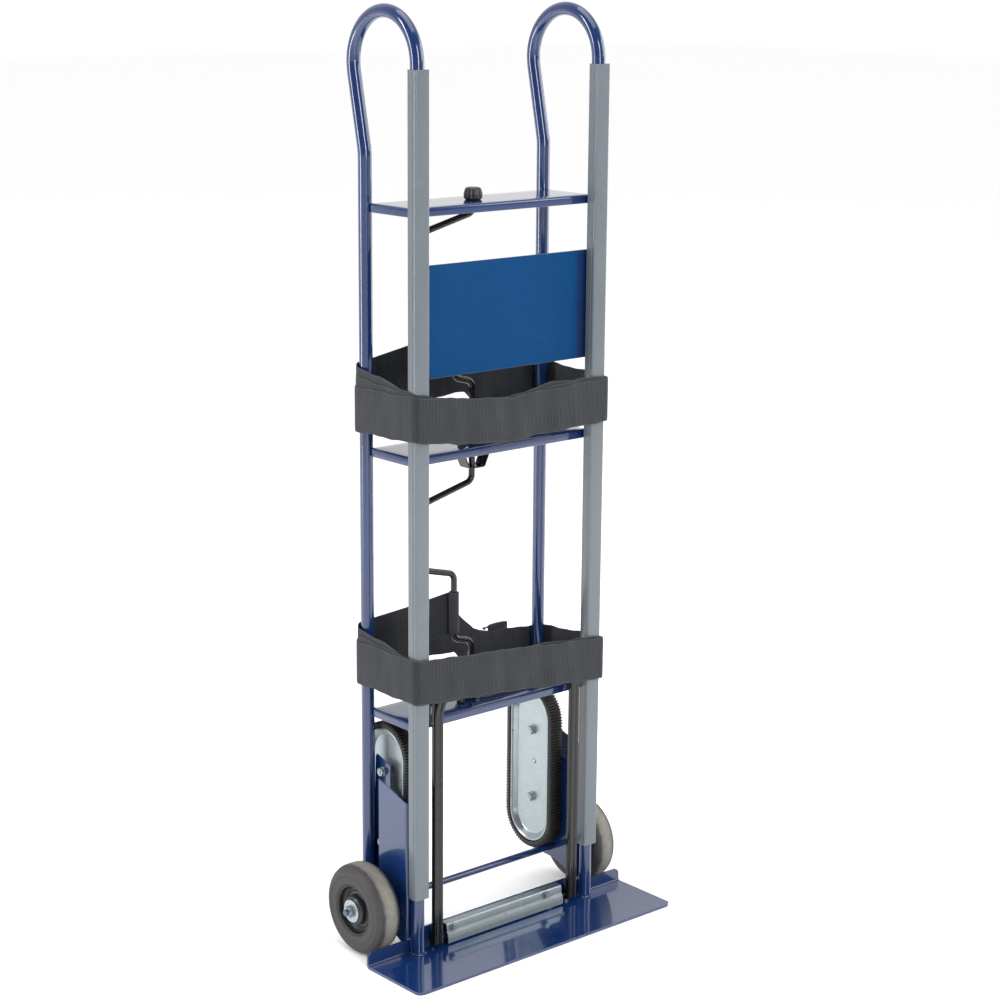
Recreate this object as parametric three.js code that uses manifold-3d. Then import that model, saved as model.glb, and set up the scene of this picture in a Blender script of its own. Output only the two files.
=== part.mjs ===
// Stair climbing trolley: an appliance hand truck with two strap winders, stair climber belts and a
// fold-down frame. Millimetres, +Z up, X across the trolley and +Y towards its back. The origin is on
// the floor, midway between the side tubes, at the centre plane of their front legs.
import * as THREE from 'three';
import * as BufferGeometryUtils from 'three/addons/utils/BufferGeometryUtils.js';
import Module from 'manifold-3d';

const wasm = await Module();
wasm.setup();

// Driving dimensions
const GAP = 0.3;                  // clearance between neighbouring pieces
const RAIL_X = 186.2;             // centre of each side tube, to each side of the middle
const TUBE_RADIUS = 11;
const TUBE_BORE = 9;
const REAR_Y = 129.7;             // centre of the upright rear legs
const HANDLE_Z = 1437;            // centre of the handle loops
const HANDLE_RADIUS = 78.5;
const HANDLE_LEAN = 12;           // degrees that the rear of the loop leans in towards the leg
const REAR_FOOT_Z = 60;
const STRIP = { low: 103, high: 1431, halfWidth: 14.5, front: -13.5, back: 6.5 };
const SHELF_TOPS = { lower: 397.2, middle: 832.9, top: 1221.7 };
const SHELF = { halfWidth: 187.7, front: 12, back: 117.8, sheet: 2.5, edge: 14 };
const TOE = {
  halfWidth: 279.7, front: -121, thickness: 5, flangeFront: 11.4, flangeBack: 15.4, lowEdge: 27,
  highEdge: 41,
};
const PANEL = { low: 954.7, high: 1132.8, halfWidth: 186, front: 11.4, sheet: 2 };
const LABEL_HALF_WIDTH = 157;
const AXLE = { y: 74.5, z: 76, radius: 6, halfLength: 279 };
const WHEEL = { inside: 216, outside: 264, radius: 76, tyreBore: 42.3, hubRadius: 42, washer: 19 };
const BRACKET = { inner: 172.4, outer: 197.5, sheet: 2.4, floor: 15 };
const CLIMBER = { inside: 147, outside: 170.6, y: 105, low: 134, high: 312, rim: 49.5, belt: 57.5 };
const BELT_OVERHANG = 1.5;
const CLIMBER_FLOORS = { inside: 157, outside: 161 };
const CLIMBER_BOLTS = { low: 165, high: 288 };
const RIVET_Z = 231;
const CRANK = { x: -23, y: 62, radius: 5.25, strapOffset: -37, gripOffset: -105 };
const PAWL = { x: -58, y: 46, boss: 7, pin: 3 };
const STRAP = { width: 75, thickness: 6.5, insideX: 201.3, insideFront: -14.1, insideBack: 141.5 };
const STRAP_LOW = { lower: 430, upper: 856 };
const FOLD = { legX: 149, y: -6, wide: 18, deep: 9, foot: 13.5, crossbar: 454, bend: 50 };
const HINGE = { y: 1, z: 18, radius: 3, halfLength: 157 };
const CHANNEL_BOLT_X = [-115, 92];
const CHANNEL_BOLT_Z = 34;
const LATCH = { x: -FOLD.legX - FOLD.wide / 2, y: FOLD.y, high: 428, low: 392 };

// Materials
function finish(colour, roughness, metalness) {
  return new THREE.MeshStandardMaterial({ color: colour, roughness, metalness });
}
const FINISH = {
  blue: () => finish(0x2c3a86, 0.3, 0.1),
  label: () => finish(0x1e528a, 0.4, 0),
  grey: () => finish(0x8a939e, 0.5, 0),
  black: () => finish(0x202022, 0.35, 0.2),
  rubber: () => finish(0x6b6866, 0.8, 0),
  belt: () => finish(0x252424, 0.8, 0),
  zinc: () => finish(0xb9c4c6, 0.35, 0.9),
  steel: () => finish(0xa9adb0, 0.4, 0.9),
  webbing: () => finish(0x48494c, 0.9, 0),
  hub: () => finish(0x1b1b1d, 0.5, 0),
};

const trolley = new THREE.Group();

// Geometry helpers
function outward(geometry) {
  // Shared vertices merged, and faces turned to point out of the body.
  const bare = geometry.clone();
  bare.deleteAttribute('normal');
  bare.deleteAttribute('uv');
  const merged = BufferGeometryUtils.mergeVertices(bare, 1e-4);
  const places = merged.attributes.position.array;
  const faces = Array.from(merged.index.array);
  let volume = 0;
  const corner = [new THREE.Vector3(), new THREE.Vector3(), new THREE.Vector3()];
  const kept = [];
  for (let face = 0; face < faces.length; face += 3) {
    const [a, b, c] = faces.slice(face, face + 3);
    if (a === b || b === c || c === a) continue;
    corner[0].fromArray(places, 3 * a);
    corner[1].fromArray(places, 3 * b);
    corner[2].fromArray(places, 3 * c);
    volume += corner[0].dot(corner[1].cross(corner[2])) / 6;
    kept.push(a, b, c);
  }
  if (volume < 0) kept.reverse();
  merged.setIndex(kept);
  return merged;
}

function solid(geometry) {
  const closed = outward(geometry);
  const mesh = new wasm.Mesh({
    numProp: 3,
    vertProperties: new Float32Array(closed.attributes.position.array),
    triVerts: new Uint32Array(closed.index.array),
  });
  return new wasm.Manifold(mesh);
}

function geometryOf(body) {
  const mesh = body.getMesh();
  const geometry = new THREE.BufferGeometry();
  geometry.setAttribute('position', new THREE.BufferAttribute(mesh.vertProperties, 3));
  geometry.setIndex(new THREE.BufferAttribute(mesh.triVerts, 1));
  return geometry;
}

function joined(first, ...others) {
  return others.reduce((sum, other) => sum.add(solid(other)), solid(first));
}

function cut(body, ...tools) {
  return tools.reduce((rest, tool) => rest.subtract(solid(tool)), body);
}

function piece(name, shape, material, side = 1) {
  // A named mesh. side -1 mirrors the shape across the middle of the trolley.
  let geometry = shape instanceof THREE.BufferGeometry ? shape : geometryOf(shape);
  if (side < 0) geometry = geometry.clone().applyMatrix4(new THREE.Matrix4().makeScale(-1, 1, 1));
  geometry = outward(geometry);
  geometry.computeVertexNormals();
  const mesh = new THREE.Mesh(geometry, material());
  mesh.name = name;
  trolley.add(mesh);
}

function outline(points) {
  return new THREE.Shape(points.map(([across, up]) => new THREE.Vector2(across, up)));
}

const AXES = {
  x: [new THREE.Vector3(0, 1, 0), new THREE.Vector3(0, 0, 1), new THREE.Vector3(1, 0, 0)],
  y: [new THREE.Vector3(0, 0, 1), new THREE.Vector3(1, 0, 0), new THREE.Vector3(0, 1, 0)],
  z: [new THREE.Vector3(1, 0, 0), new THREE.Vector3(0, 1, 0), new THREE.Vector3(0, 0, 1)],
};

function facing(geometry, axis) {
  // Turns a shape made along z to run along the named axis. Its outline is then drawn in
  // (y, z) for x, in (z, x) for y and in (x, y) for z.
  return geometry.applyMatrix4(new THREE.Matrix4().makeBasis(...AXES[axis]));
}

function slab(shape, axis, from, to, curveSegments = 10) {
  const options = { depth: to - from, bevelEnabled: false, steps: 1, curveSegments };
  const geometry = new THREE.ExtrudeGeometry(shape, options).translate(0, 0, from);
  return facing(geometry, axis);
}

function box(x0, x1, y0, y1, z0, z1) {
  const geometry = new THREE.BoxGeometry(x1 - x0, y1 - y0, z1 - z0);
  return geometry.translate((x0 + x1) / 2, (y0 + y1) / 2, (z0 + z1) / 2);
}

function turned(profile, axis, centre, segments = 24) {
  // A body of revolution. Each profile point is (radius, place along the axis).
  const points = profile.map(([radius, along]) => new THREE.Vector2(radius, along));
  const geometry = new THREE.LatheGeometry(points, segments).rotateX(Math.PI / 2);
  return facing(geometry, axis).translate(...centre);
}

function rod(radius, axis, from, to, centre, segments = 12) {
  return turned([[0, from], [radius, from], [radius, to], [0, to]], axis, centre, segments);
}

function tube(bore, radius, axis, from, to, centre, segments = 20) {
  const profile = [[bore, from], [radius, from], [radius, to], [bore, to], [bore, from]];
  return turned(profile, axis, centre, segments);
}

function stadium(radius, middleY, lowZ, highZ) {
  // Two half circles joined by straight sides, drawn in (y, z).
  const shape = new THREE.Shape();
  shape.absarc(middleY, highZ, radius, 0, Math.PI, false);
  shape.absarc(middleY, lowZ, radius, Math.PI, 2 * Math.PI, false);
  shape.closePath();
  return shape;
}

class BentPath extends THREE.Curve {
  // A line through corner points, with a bend of the given radius at each inner corner. Samples
  // sit only where the direction changes, so straight stretches take one step.
  constructor(corners, radius, stepDegrees) {
    super();
    this.samples = [];
    this.tangents = [];
    const points = corners.map((corner) => new THREE.Vector3(...corner));
    const last = points.length - 1;
    for (let index = 0; index <= last; index += 1) {
      const before = index > 0 ? points[index].clone().sub(points[index - 1]).normalize() : null;
      const after = index < last ? points[index + 1].clone().sub(points[index]).normalize() : null;
      if (!before || !after) {
        this.samples.push(points[index]);
        this.tangents.push(before || after);
        continue;
      }
      this.bend(points[index], before, after, radius, stepDegrees);
    }
  }

  bend(corner, before, after, radius, stepDegrees) {
    const angle = before.angleTo(after);
    const start = corner.clone().addScaledVector(before, -radius * Math.tan(angle / 2));
    const inward = after.clone().addScaledVector(before, -Math.cos(angle)).normalize();
    const steps = Math.max(2, Math.ceil(THREE.MathUtils.radToDeg(angle) / stepDegrees));
    for (let step = 0; step <= steps; step += 1) {
      const turn = (angle * step) / steps;
      const place = start.clone().addScaledVector(before, radius * Math.sin(turn));
      place.addScaledVector(inward, radius * (1 - Math.cos(turn)));
      const heading = before.clone().multiplyScalar(Math.cos(turn));
      this.samples.push(place);
      this.tangents.push(heading.addScaledVector(inward, Math.sin(turn)));
    }
  }

  nearest(fraction) {
    return Math.round(fraction * (this.samples.length - 1));
  }

  getPointAt(fraction, target = new THREE.Vector3()) {
    return target.copy(this.samples[this.nearest(fraction)]);
  }

  getTangentAt(fraction, target = new THREE.Vector3()) {
    return target.copy(this.tangents[this.nearest(fraction)]);
  }

  getPoint(fraction, target) {
    return this.getPointAt(fraction, target);
  }
}

function bentBar(section, corners, radius, stepDegrees = 15) {
  const path = new BentPath(corners, radius, stepDegrees);
  const steps = path.samples.length - 1;
  return new THREE.ExtrudeGeometry(section, { extrudePath: path, steps, curveSegments: 3 });
}

function roundSection(radius, sides) {
  const points = [];
  for (let side = 0; side < sides; side += 1) {
    const angle = (2 * Math.PI * side) / sides;
    points.push([radius * Math.cos(angle), radius * Math.sin(angle)]);
  }
  return outline(points);
}

// Side tubes: front leg, handle loop and rear leg in one bent tube
function sideTube() {
  const lean = THREE.MathUtils.degToRad(HANDLE_LEAN);
  const kneeRadius = HANDLE_RADIUS;
  const top = HANDLE_Z + HANDLE_RADIUS;
  // The loop's last bend passes the vertical by the lean, and the knee turns back by as much.
  const loopCentreY = HANDLE_RADIUS;
  const exitY = loopCentreY + HANDLE_RADIUS * Math.cos(lean);
  const exitZ = HANDLE_Z - HANDLE_RADIUS * Math.sin(lean);
  const topCornerY = loopCentreY + HANDLE_RADIUS * Math.tan((Math.PI / 2 + lean) / 2);
  const kneeZ = exitZ - (exitY - REAR_Y) / Math.tan(lean);
  const section = roundSection(TUBE_RADIUS, 12);
  section.holes.push(roundSection(TUBE_BORE, 12));
  return bentBar(section, [
    [RAIL_X, 0, TOE.thickness + GAP],
    [RAIL_X, 0, top],
    [RAIL_X, topCornerY, top],
    [RAIL_X, REAR_Y, kneeZ],
    [RAIL_X, REAR_Y, REAR_FOOT_Z],
  ], kneeRadius, 15);
}

// Rub strip: a U-shaped cover with rounded front corners, snapped over the front leg
function rubStrip() {
  const corner = 3.5;
  const bore = TUBE_RADIUS + GAP;
  const wide = STRIP.halfWidth;
  const shape = new THREE.Shape();
  shape.moveTo(wide, STRIP.back);
  shape.lineTo(bore, STRIP.back);
  shape.lineTo(bore, 0);
  shape.absarc(0, 0, bore, 0, -Math.PI, true);
  shape.lineTo(-bore, STRIP.back);
  shape.lineTo(-wide, STRIP.back);
  shape.absarc(-wide + corner, STRIP.front + corner, corner, Math.PI, 1.5 * Math.PI, false);
  shape.absarc(wide - corner, STRIP.front + corner, corner, 1.5 * Math.PI, 2 * Math.PI, false);
  shape.closePath();
  return slab(shape, 'z', STRIP.low, STRIP.high, 8).translate(RAIL_X, 0, 0);
}

// Shelf: a pan pressed from sheet, open below, with a hole for the crank rod
function shelf(top) {
  const { halfWidth, front, back, sheet, edge } = SHELF;
  const pan = cut(
    solid(box(-halfWidth, halfWidth, front, back, top - edge, top)),
    box(-halfWidth + sheet, halfWidth - sheet, front + sheet, back - sheet, top - 2 * edge, top - sheet),
  );
  return cut(
    pan,
    rod(CRANK.radius + GAP, 'z', top - edge, top + edge, [CRANK.x, CRANK.y, 0], 16),
    rod(PAWL.pin + GAP, 'z', top - edge, top + edge, [PAWL.x, PAWL.y, 0]),
  );
}

// Wheel bracket: a channel round the foot of a side tube, open at the back. Its inner wall has a
// tab at the top that carries the climber.
function wheelBracket() {
  const { inner, outer, sheet, floor } = BRACKET;
  const webFront = TUBE_RADIUS + GAP;
  const webBack = webFront + sheet;
  const behindFlange = TOE.flangeBack + GAP;
  const aboveFlange = TOE.highEdge + 1;
  const { lowEdge } = TOE;
  const outerWall = slab(outline([
    [behindFlange, floor], [85, 48], [85, 287], [webFront, 264], [webFront, lowEdge + 1],
    [behindFlange, lowEdge + 1],
  ]), 'x', outer, outer + sheet);
  const innerWall = slab(outline([
    [webFront, aboveFlange], [41, 49.3], [67, 57.5], [133, 60], [133, 73], [125, 315], [86, 302],
    [86, 264], [webFront, 241],
  ]), 'x', inner, inner + sheet);
  const web = box(inner, outer + sheet, webFront, webBack, aboveFlange, 241);
  const reach = 2 * RAIL_X;
  return cut(
    joined(outerWall, innerWall, web),
    rod(AXLE.radius + GAP, 'x', 0, reach, [0, AXLE.y, AXLE.z], 16),
    rod(4 + GAP, 'x', 0, reach, [0, CLIMBER.y, CLIMBER_BOLTS.low], 12),
    rod(4 + GAP, 'x', 0, reach, [0, CLIMBER.y, CLIMBER_BOLTS.high], 12),
  );
}

// Toe plate: a flat plate with a turned-up back edge that is higher between the side tubes
function toePlate() {
  const { halfWidth, front, thickness, flangeFront, flangeBack, lowEdge, highEdge } = TOE;
  const corner = 12;
  const plate = new THREE.Shape();
  plate.moveTo(halfWidth, flangeBack);
  plate.lineTo(-halfWidth, flangeBack);
  plate.absarc(-halfWidth + corner, front + corner, corner, Math.PI, 1.5 * Math.PI, false);
  plate.absarc(halfWidth - corner, front + corner, corner, 1.5 * Math.PI, 2 * Math.PI, false);
  plate.closePath();
  const round = 10;
  const raised = RAIL_X - 14;
  const flange = new THREE.Shape();
  flange.moveTo(0, -halfWidth);
  flange.absarc(lowEdge - round, -halfWidth + round, round, 1.5 * Math.PI, 2 * Math.PI, false);
  flange.lineTo(lowEdge, -raised - 10);
  flange.lineTo(highEdge, -raised);
  flange.lineTo(highEdge, raised);
  flange.lineTo(lowEdge, raised + 10);
  flange.absarc(lowEdge - round, halfWidth - round, round, 0, 0.5 * Math.PI, false);
  flange.lineTo(0, halfWidth);
  flange.closePath();
  const body = joined(
    slab(plate, 'z', 0, thickness, 5),
    slab(flange, 'y', flangeFront, flangeBack, 5),
  );
  const holes = CHANNEL_BOLT_X.map((x) => rod(2.5 + GAP, 'y', 0, 2 * flangeBack, [x, 0, CHANNEL_BOLT_Z]));
  return cut(body, ...holes);
}

function wheelHub() {
  const { hubRadius } = WHEEL;
  const middle = (WHEEL.inside + WHEEL.outside) / 2;
  const rimHalf = 21;
  const bore = AXLE.radius + GAP;
  const profile = [
    [bore, WHEEL.inside], [16, WHEEL.inside], [18, middle - 8], [hubRadius - 5, middle - 8],
    [hubRadius - 3, middle - rimHalf], [hubRadius, middle - rimHalf], [hubRadius, middle + rimHalf],
    [hubRadius - 3, middle + rimHalf], [hubRadius - 5, middle + 9], [26, middle + 12],
    [24, WHEEL.outside - 3], [16, WHEEL.outside], [bore, WHEEL.outside], [bore, WHEEL.inside],
  ];
  return turned(profile, 'x', [0, AXLE.y, AXLE.z], 20);
}

function tyre() {
  const { inside, outside, radius, tyreBore } = WHEEL;
  const profile = [
    [tyreBore, inside + 1], [64, inside], [70, inside + 2.4], [74.3, inside + 7], [radius, inside + 14],
    [radius, outside - 14], [74.3, outside - 7], [70, outside - 2.4], [64, outside],
    [tyreBore, outside - 1], [tyreBore, inside + 1],
  ];
  return turned(profile, 'x', [0, AXLE.y, AXLE.z], 30);
}

function hexagon(acrossFlats) {
  const points = [];
  for (let side = 0; side < 6; side += 1) {
    const angle = (Math.PI * (2 * side + 1)) / 6;
    const radius = acrossFlats / Math.sqrt(3);
    points.push([radius * Math.cos(angle), radius * Math.sin(angle)]);
  }
  return outline(points);
}

function axleNut() {
  const from = WHEEL.outside + 2 + 2 * GAP;
  const nut = slab(hexagon(17), 'x', from, from + 8).translate(0, AXLE.y, AXLE.z);
  return cut(solid(nut), rod(AXLE.radius + GAP, 'x', from - 1, from + 9, [0, AXLE.y, AXLE.z], 16));
}

// Climber plate: a pan with a rolled rim. open is the side of the rim, floor the side of the face.
function climberPlate(open, floor) {
  const { y, low, high, rim } = CLIMBER;
  const sheet = 2;
  const inward = floor > open ? 1 : -1;
  const [from, to] = [Math.min(open, floor), Math.max(open, floor)];
  const [cutFrom, cutTo] = inward > 0 ? [open - 1, floor - sheet] : [floor + sheet, open + 1];
  return cut(
    solid(slab(stadium(rim, y, low, high), 'x', from, to)),
    slab(stadium(rim - 4, y, low, high), 'x', cutFrom, cutTo),
    rod(4 + GAP, 'x', 0, 2 * RAIL_X, [0, y, CLIMBER_BOLTS.low]),
    rod(4 + GAP, 'x', 0, 2 * RAIL_X, [0, y, CLIMBER_BOLTS.high]),
    rod(2.5 + GAP, 'x', 0, 2 * RAIL_X, [0, y - 5, RIVET_Z]),
  );
}

function climberBelt() {
  const { inside, outside, y, low, high, rim, belt } = CLIMBER;
  const ring = stadium(belt, y, low, high);
  ring.holes.push(stadium(rim + GAP, y, low, high));
  return slab(ring, 'x', inside - BELT_OVERHANG, outside + BELT_OVERHANG, 12);
}

// Climber bolt: head and washer on the face of the inner plate, end out through the bracket wall
function climberBolt(z) {
  const head = CLIMBER_FLOORS.inside - 2;
  const end = BRACKET.inner + BRACKET.sheet + 9;
  const profile = [
    [0, head - 9], [4, head - 9], [4, head - 6.5], [6.5, head - 6.5], [6.5, head - 2.5 + GAP],
    [9, head - 2.5 + GAP], [9, head - GAP], [4, head - GAP], [4, end], [0, end],
  ];
  return turned(profile, 'x', [0, CLIMBER.y, z], 12);
}

function centreRivet() {
  const head = CLIMBER_FLOORS.inside - 2;
  const profile = [
    [0, head - 2.5], [3, head - 2], [4.5, head - GAP], [2.5, head - GAP],
    [2.5, CLIMBER_FLOORS.outside + 4], [0, CLIMBER_FLOORS.outside + 4],
  ];
  return turned(profile, 'x', [0, CLIMBER.y - 5, RIVET_Z], 10);
}

// Crank rod: journal, strap section, return arm, grip, top arm and top journal, bent in one plane
function crankRod(shelfTop, journalTop) {
  const corners = [
    [0, -21], [0, 97], [CRANK.strapOffset, 107], [CRANK.strapOffset, 217.5], [CRANK.gripOffset, 235],
    [CRANK.gripOffset, 343], [0, 369],
  ];
  const places = corners.map(([offset, rise]) => [CRANK.x + offset, CRANK.y, shelfTop + rise]);
  places.push([CRANK.x, CRANK.y, journalTop]);
  return bentBar(roundSection(CRANK.radius, 8), places, 13, 24);
}

function ratchetWheel(shelfTop) {
  const teeth = 14;
  const points = [];
  for (let tooth = 0; tooth < teeth; tooth += 1) {
    const angle = (2 * Math.PI * tooth) / teeth;
    points.push([20 * Math.cos(angle), 20 * Math.sin(angle)]);
    points.push([16 * Math.cos(angle + 0.05), 16 * Math.sin(angle + 0.05)]);
  }
  const wheel = solid(slab(outline(points), 'z', shelfTop + GAP, shelfTop + 8));
  const bored = cut(wheel, rod(CRANK.radius + GAP, 'z', -1, 10, [0, 0, shelfTop], 16));
  return bored.translate([CRANK.x, CRANK.y, 0]);
}

// Pawl: a finger that points at the ratchet wheel, with its pin through the shelf
function pawl(shelfTop) {
  const toAxis = Math.atan2(CRANK.y - PAWL.y, CRANK.x - PAWL.x);
  const reach = Math.hypot(CRANK.y - PAWL.y, CRANK.x - PAWL.x) - 20.8;
  const finger = slab(outline([[0, -5], [reach, -1.5], [reach, 1.5], [0, 5]]), 'z', 1, 7);
  return joined(
    finger,
    rod(PAWL.boss, 'z', 1, 7, [0, 0, 0], 16),
    rod(PAWL.pin, 'z', -10, 11, [0, 0, 0], 12),
    rod(4.5, 'z', 10, 14, [0, 0, 0], 12),
  ).rotate([0, 0, THREE.MathUtils.radToDeg(toAxis)]).translate([PAWL.x, PAWL.y, shelfTop]);
}

// Ratchet bracket: a folded strip under the middle shelf, with a hole for the lower crank's end
function ratchetBracket() {
  const top = SHELF_TOPS.middle - SHELF.sheet - GAP;
  const low = top - 42;
  const sheet = 2.5;
  const strip = outline([
    [top, -76], [top, -54], [low + sheet, -36], [low + sheet, -6], [top, 12], [top, 30],
    [top - sheet, 30], [top - sheet, 13.5], [low, -4.5], [low, -37.5], [top - sheet, -55.5],
    [top - sheet, -76],
  ]);
  return cut(
    solid(slab(strip, 'y', CRANK.y - 12, CRANK.y + 12)),
    rod(CRANK.radius + GAP, 'z', low - 5, low + 5, [CRANK.x, CRANK.y, 0], 16),
  );
}

function crankKnob() {
  const low = SHELF_TOPS.top + GAP;
  const profile = [
    [0, low + 19.5], [9.5, low + 19.5], [13, low + 17.5], [15.5, low + 9], [14.5, low + 2.5], [12, low],
    [CRANK.radius + GAP, low], [CRANK.radius + GAP, low + 13], [0, low + 13],
  ];
  return turned(profile, 'z', [CRANK.x, CRANK.y, 0], 20);
}

// Strap: a band round the outside of the four tubes, with a tail to the winder
function rectangle(halfX, front, back, corner) {
  const shape = new THREE.Shape();
  shape.absarc(halfX - corner, back - corner, corner, 0, 0.5 * Math.PI, false);
  shape.absarc(-halfX + corner, back - corner, corner, 0.5 * Math.PI, Math.PI, false);
  shape.absarc(-halfX + corner, front + corner, corner, Math.PI, 1.5 * Math.PI, false);
  shape.absarc(halfX - corner, front + corner, corner, 1.5 * Math.PI, 2 * Math.PI, false);
  shape.closePath();
  return shape;
}

function strap(low, shelfTop) {
  const { width, thickness, insideX, insideFront, insideBack } = STRAP;
  const band = rectangle(insideX + thickness, insideFront - thickness, insideBack + thickness, 7);
  band.holes.push(rectangle(insideX, insideFront, insideBack, 3));
  // The tail runs from clear of the winder to the back of the left rear leg, and drops on the way.
  const start = new THREE.Vector2(-66, 72);
  const away = new THREE.Vector2(-RAIL_X, REAR_Y).sub(start);
  const clear = TUBE_RADIUS + 2;
  const angle = away.angle() - Math.asin(clear / away.length());
  const length = Math.sqrt(away.lengthSq() - clear * clear) + 6;
  const tailHeight = width - 5;
  const [startLow, endLow] = [shelfTop + 112, shelfTop + 76];
  const tailShape = outline([
    [startLow, 0], [endLow, length], [endLow + tailHeight, length], [startLow + tailHeight, 0],
  ]);
  const tail = slab(tailShape, 'y', -1.5, 1.5).rotateZ(angle).translate(start.x, start.y, 0);
  return joined(slab(band, 'z', low, low + width, 4), tail);
}

function strapWrap(shelfTop) {
  const centre = [CRANK.x + CRANK.strapOffset, CRANK.y, 0];
  return tube(CRANK.radius + GAP, 8.5, 'z', shelfTop + 119, shelfTop + 187, centre, 16);
}

function strapHook(low) {
  const outside = STRAP.insideBack + STRAP.thickness + GAP;
  const plate = box(88, 132, outside, outside + 2.5, low + 18, low + 62);
  const slot = box(93, 99, outside - 1, outside + 4, low + 22, low + 58);
  return cut(solid(plate), slot);
}

// Fold-down frame: a bar bent to an upside-down U, with a hinge lug at the foot of each leg
function foldFrame() {
  const { legX, y, wide, deep, foot, crossbar, bend } = FOLD;
  const section = outline([
    [-deep / 2, -wide / 2], [deep / 2, -wide / 2], [deep / 2, wide / 2], [-deep / 2, wide / 2],
  ]);
  const bar = bentBar(section, [
    [-legX, y, foot], [-legX, y, crossbar], [legX, y, crossbar], [legX, y, foot],
  ], bend, 12);
  const lugs = [-1, 1].map((side) => {
    const middle = side * legX;
    return box(middle - 3, middle + 3, y, HINGE.y + 6, HINGE.z - 8, HINGE.z + 8);
  });
  const holes = rod(HINGE.radius + GAP, 'x', -2 * legX, 2 * legX, [0, HINGE.y, HINGE.z], 16);
  return cut(joined(bar, ...lugs), holes);
}

// Hinge channel: zinc sheet folded over the hinge rod and bolted to the toe plate's back edge
function hingeChannel() {
  const back = TOE.flangeFront - GAP;
  const profile = outline([
    [-8.6, 7.5], [-4.6, 41], [back, 41], [back, 38.5], [-2.2, 38.5], [-6.1, 7.5],
  ]);
  const body = solid(slab(profile, 'x', -128, 128));
  return cut(body, ...CHANNEL_BOLT_X.map((x) => rod(2.5 + GAP, 'y', -20, 20, [x, 0, CHANNEL_BOLT_Z])));
}

function channelBolt(x) {
  const [head, washer, seat, end] = [-13.5, -8.7, -6.7, 22];
  const profile = [
    [0, head], [4, head], [5, head + 1.5], [5, washer], [7, washer], [7, seat], [2.5, seat], [2.5, end],
    [0, end],
  ];
  return turned(profile, 'y', [x, 0, CHANNEL_BOLT_Z], 12);
}

// Wire latch: a flat ring that hangs beside the top of the left leg, pinned to it
function frameLatch() {
  const ring = new THREE.Shape();
  ring.absarc(LATCH.y, LATCH.high, 4.5, 0, Math.PI, false);
  ring.absarc(LATCH.y, LATCH.low + 6, 6, Math.PI, 2 * Math.PI, false);
  ring.closePath();
  ring.holes.push(stadium(2.2, LATCH.y, LATCH.low + 6, LATCH.high - 10));
  const wire = slab(ring, 'x', LATCH.x - 6, LATCH.x - 3, 6);
  const pin = rod(3, 'x', LATCH.x - 7, LATCH.x - GAP, [0, LATCH.y, LATCH.high], 10);
  return joined(wire, pin);
}

// Assembly: pieces that come in pairs, then the single ones
for (const [side, word] of [[-1, 'left'], [1, 'right']]) {
  piece(`${word}_side_tube`, sideTube(), FINISH.blue, side);
  piece(`${word}_rub_strip`, rubStrip(), FINISH.grey, side);
  piece(`${word}_wheel_bracket`, wheelBracket(), FINISH.blue, side);
  piece(`${word}_wheel_hub`, wheelHub(), FINISH.hub, side);
  piece(`${word}_tyre`, tyre(), FINISH.rubber, side);
  const washer = [WHEEL.outside + GAP, WHEEL.outside + 2 + GAP];
  const washerShape = tube(AXLE.radius + GAP, WHEEL.washer, 'x', ...washer, [0, AXLE.y, AXLE.z]);
  piece(`${word}_axle_washer`, washerShape, FINISH.zinc, side);
  piece(`${word}_axle_nut`, axleNut(), FINISH.zinc, side);
  const innerPlate = climberPlate(CLIMBER.inside, CLIMBER_FLOORS.inside);
  const outerPlate = climberPlate(CLIMBER.outside, CLIMBER_FLOORS.outside);
  piece(`${word}_climber_inner_plate`, innerPlate, FINISH.zinc, side);
  piece(`${word}_climber_outer_plate`, outerPlate, FINISH.zinc, side);
  piece(`${word}_climber_belt`, climberBelt(), FINISH.belt, side);
  for (const [place, z] of [['upper', CLIMBER_BOLTS.high], ['lower', CLIMBER_BOLTS.low]]) {
    piece(`${word}_climber_${place}_bolt`, climberBolt(z), FINISH.zinc, side);
    const ends = [CLIMBER_FLOORS.inside + GAP, CLIMBER_FLOORS.outside - GAP];
    const spacer = tube(4 + GAP, 8, 'x', ...ends, [0, CLIMBER.y, z], 14);
    piece(`${word}_climber_${place}_spacer`, spacer, FINISH.steel, side);
  }
  piece(`${word}_climber_rivet`, centreRivet(), FINISH.zinc, side);
}
for (const [word, top] of Object.entries(SHELF_TOPS)) {
  piece(`${word}_shelf`, shelf(top), FINISH.blue);
}
for (const [word, shelfWord, journalTop] of [
  ['lower', 'lower', SHELF_TOPS.middle - 27],
  ['upper', 'middle', SHELF_TOPS.top + 12],
]) {
  const top = SHELF_TOPS[shelfWord];
  piece(`${word}_crank_rod`, crankRod(top, journalTop), FINISH.black);
  const grip = [CRANK.x + CRANK.gripOffset, CRANK.y, 0];
  piece(`${word}_crank_grip`, tube(CRANK.radius + GAP, 10, 'z', top + 252, top + 326, grip, 16), FINISH.hub);
  piece(`${word}_ratchet_wheel`, ratchetWheel(top), FINISH.black);
  piece(`${word}_pawl`, pawl(top), FINISH.zinc);
  const low = STRAP_LOW[word];
  piece(`${word}_strap`, strap(low, top), FINISH.webbing);
  piece(`${word}_strap_wrap`, strapWrap(top), FINISH.webbing);
  piece(`${word}_strap_hook`, strapHook(low), FINISH.zinc);
}
piece('crank_top_knob', crankKnob(), FINISH.hub);
piece('ratchet_bracket', ratchetBracket(), FINISH.black);
const panelBack = PANEL.front + PANEL.sheet;
const panelBox = [PANEL.front, panelBack, PANEL.low, PANEL.high];
piece('back_panel', box(-PANEL.halfWidth, PANEL.halfWidth, ...panelBox), FINISH.blue);
const labelBack = PANEL.front - GAP;
const labelBox = [labelBack - 0.6, labelBack, PANEL.low + 1, PANEL.high - 1];
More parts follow.
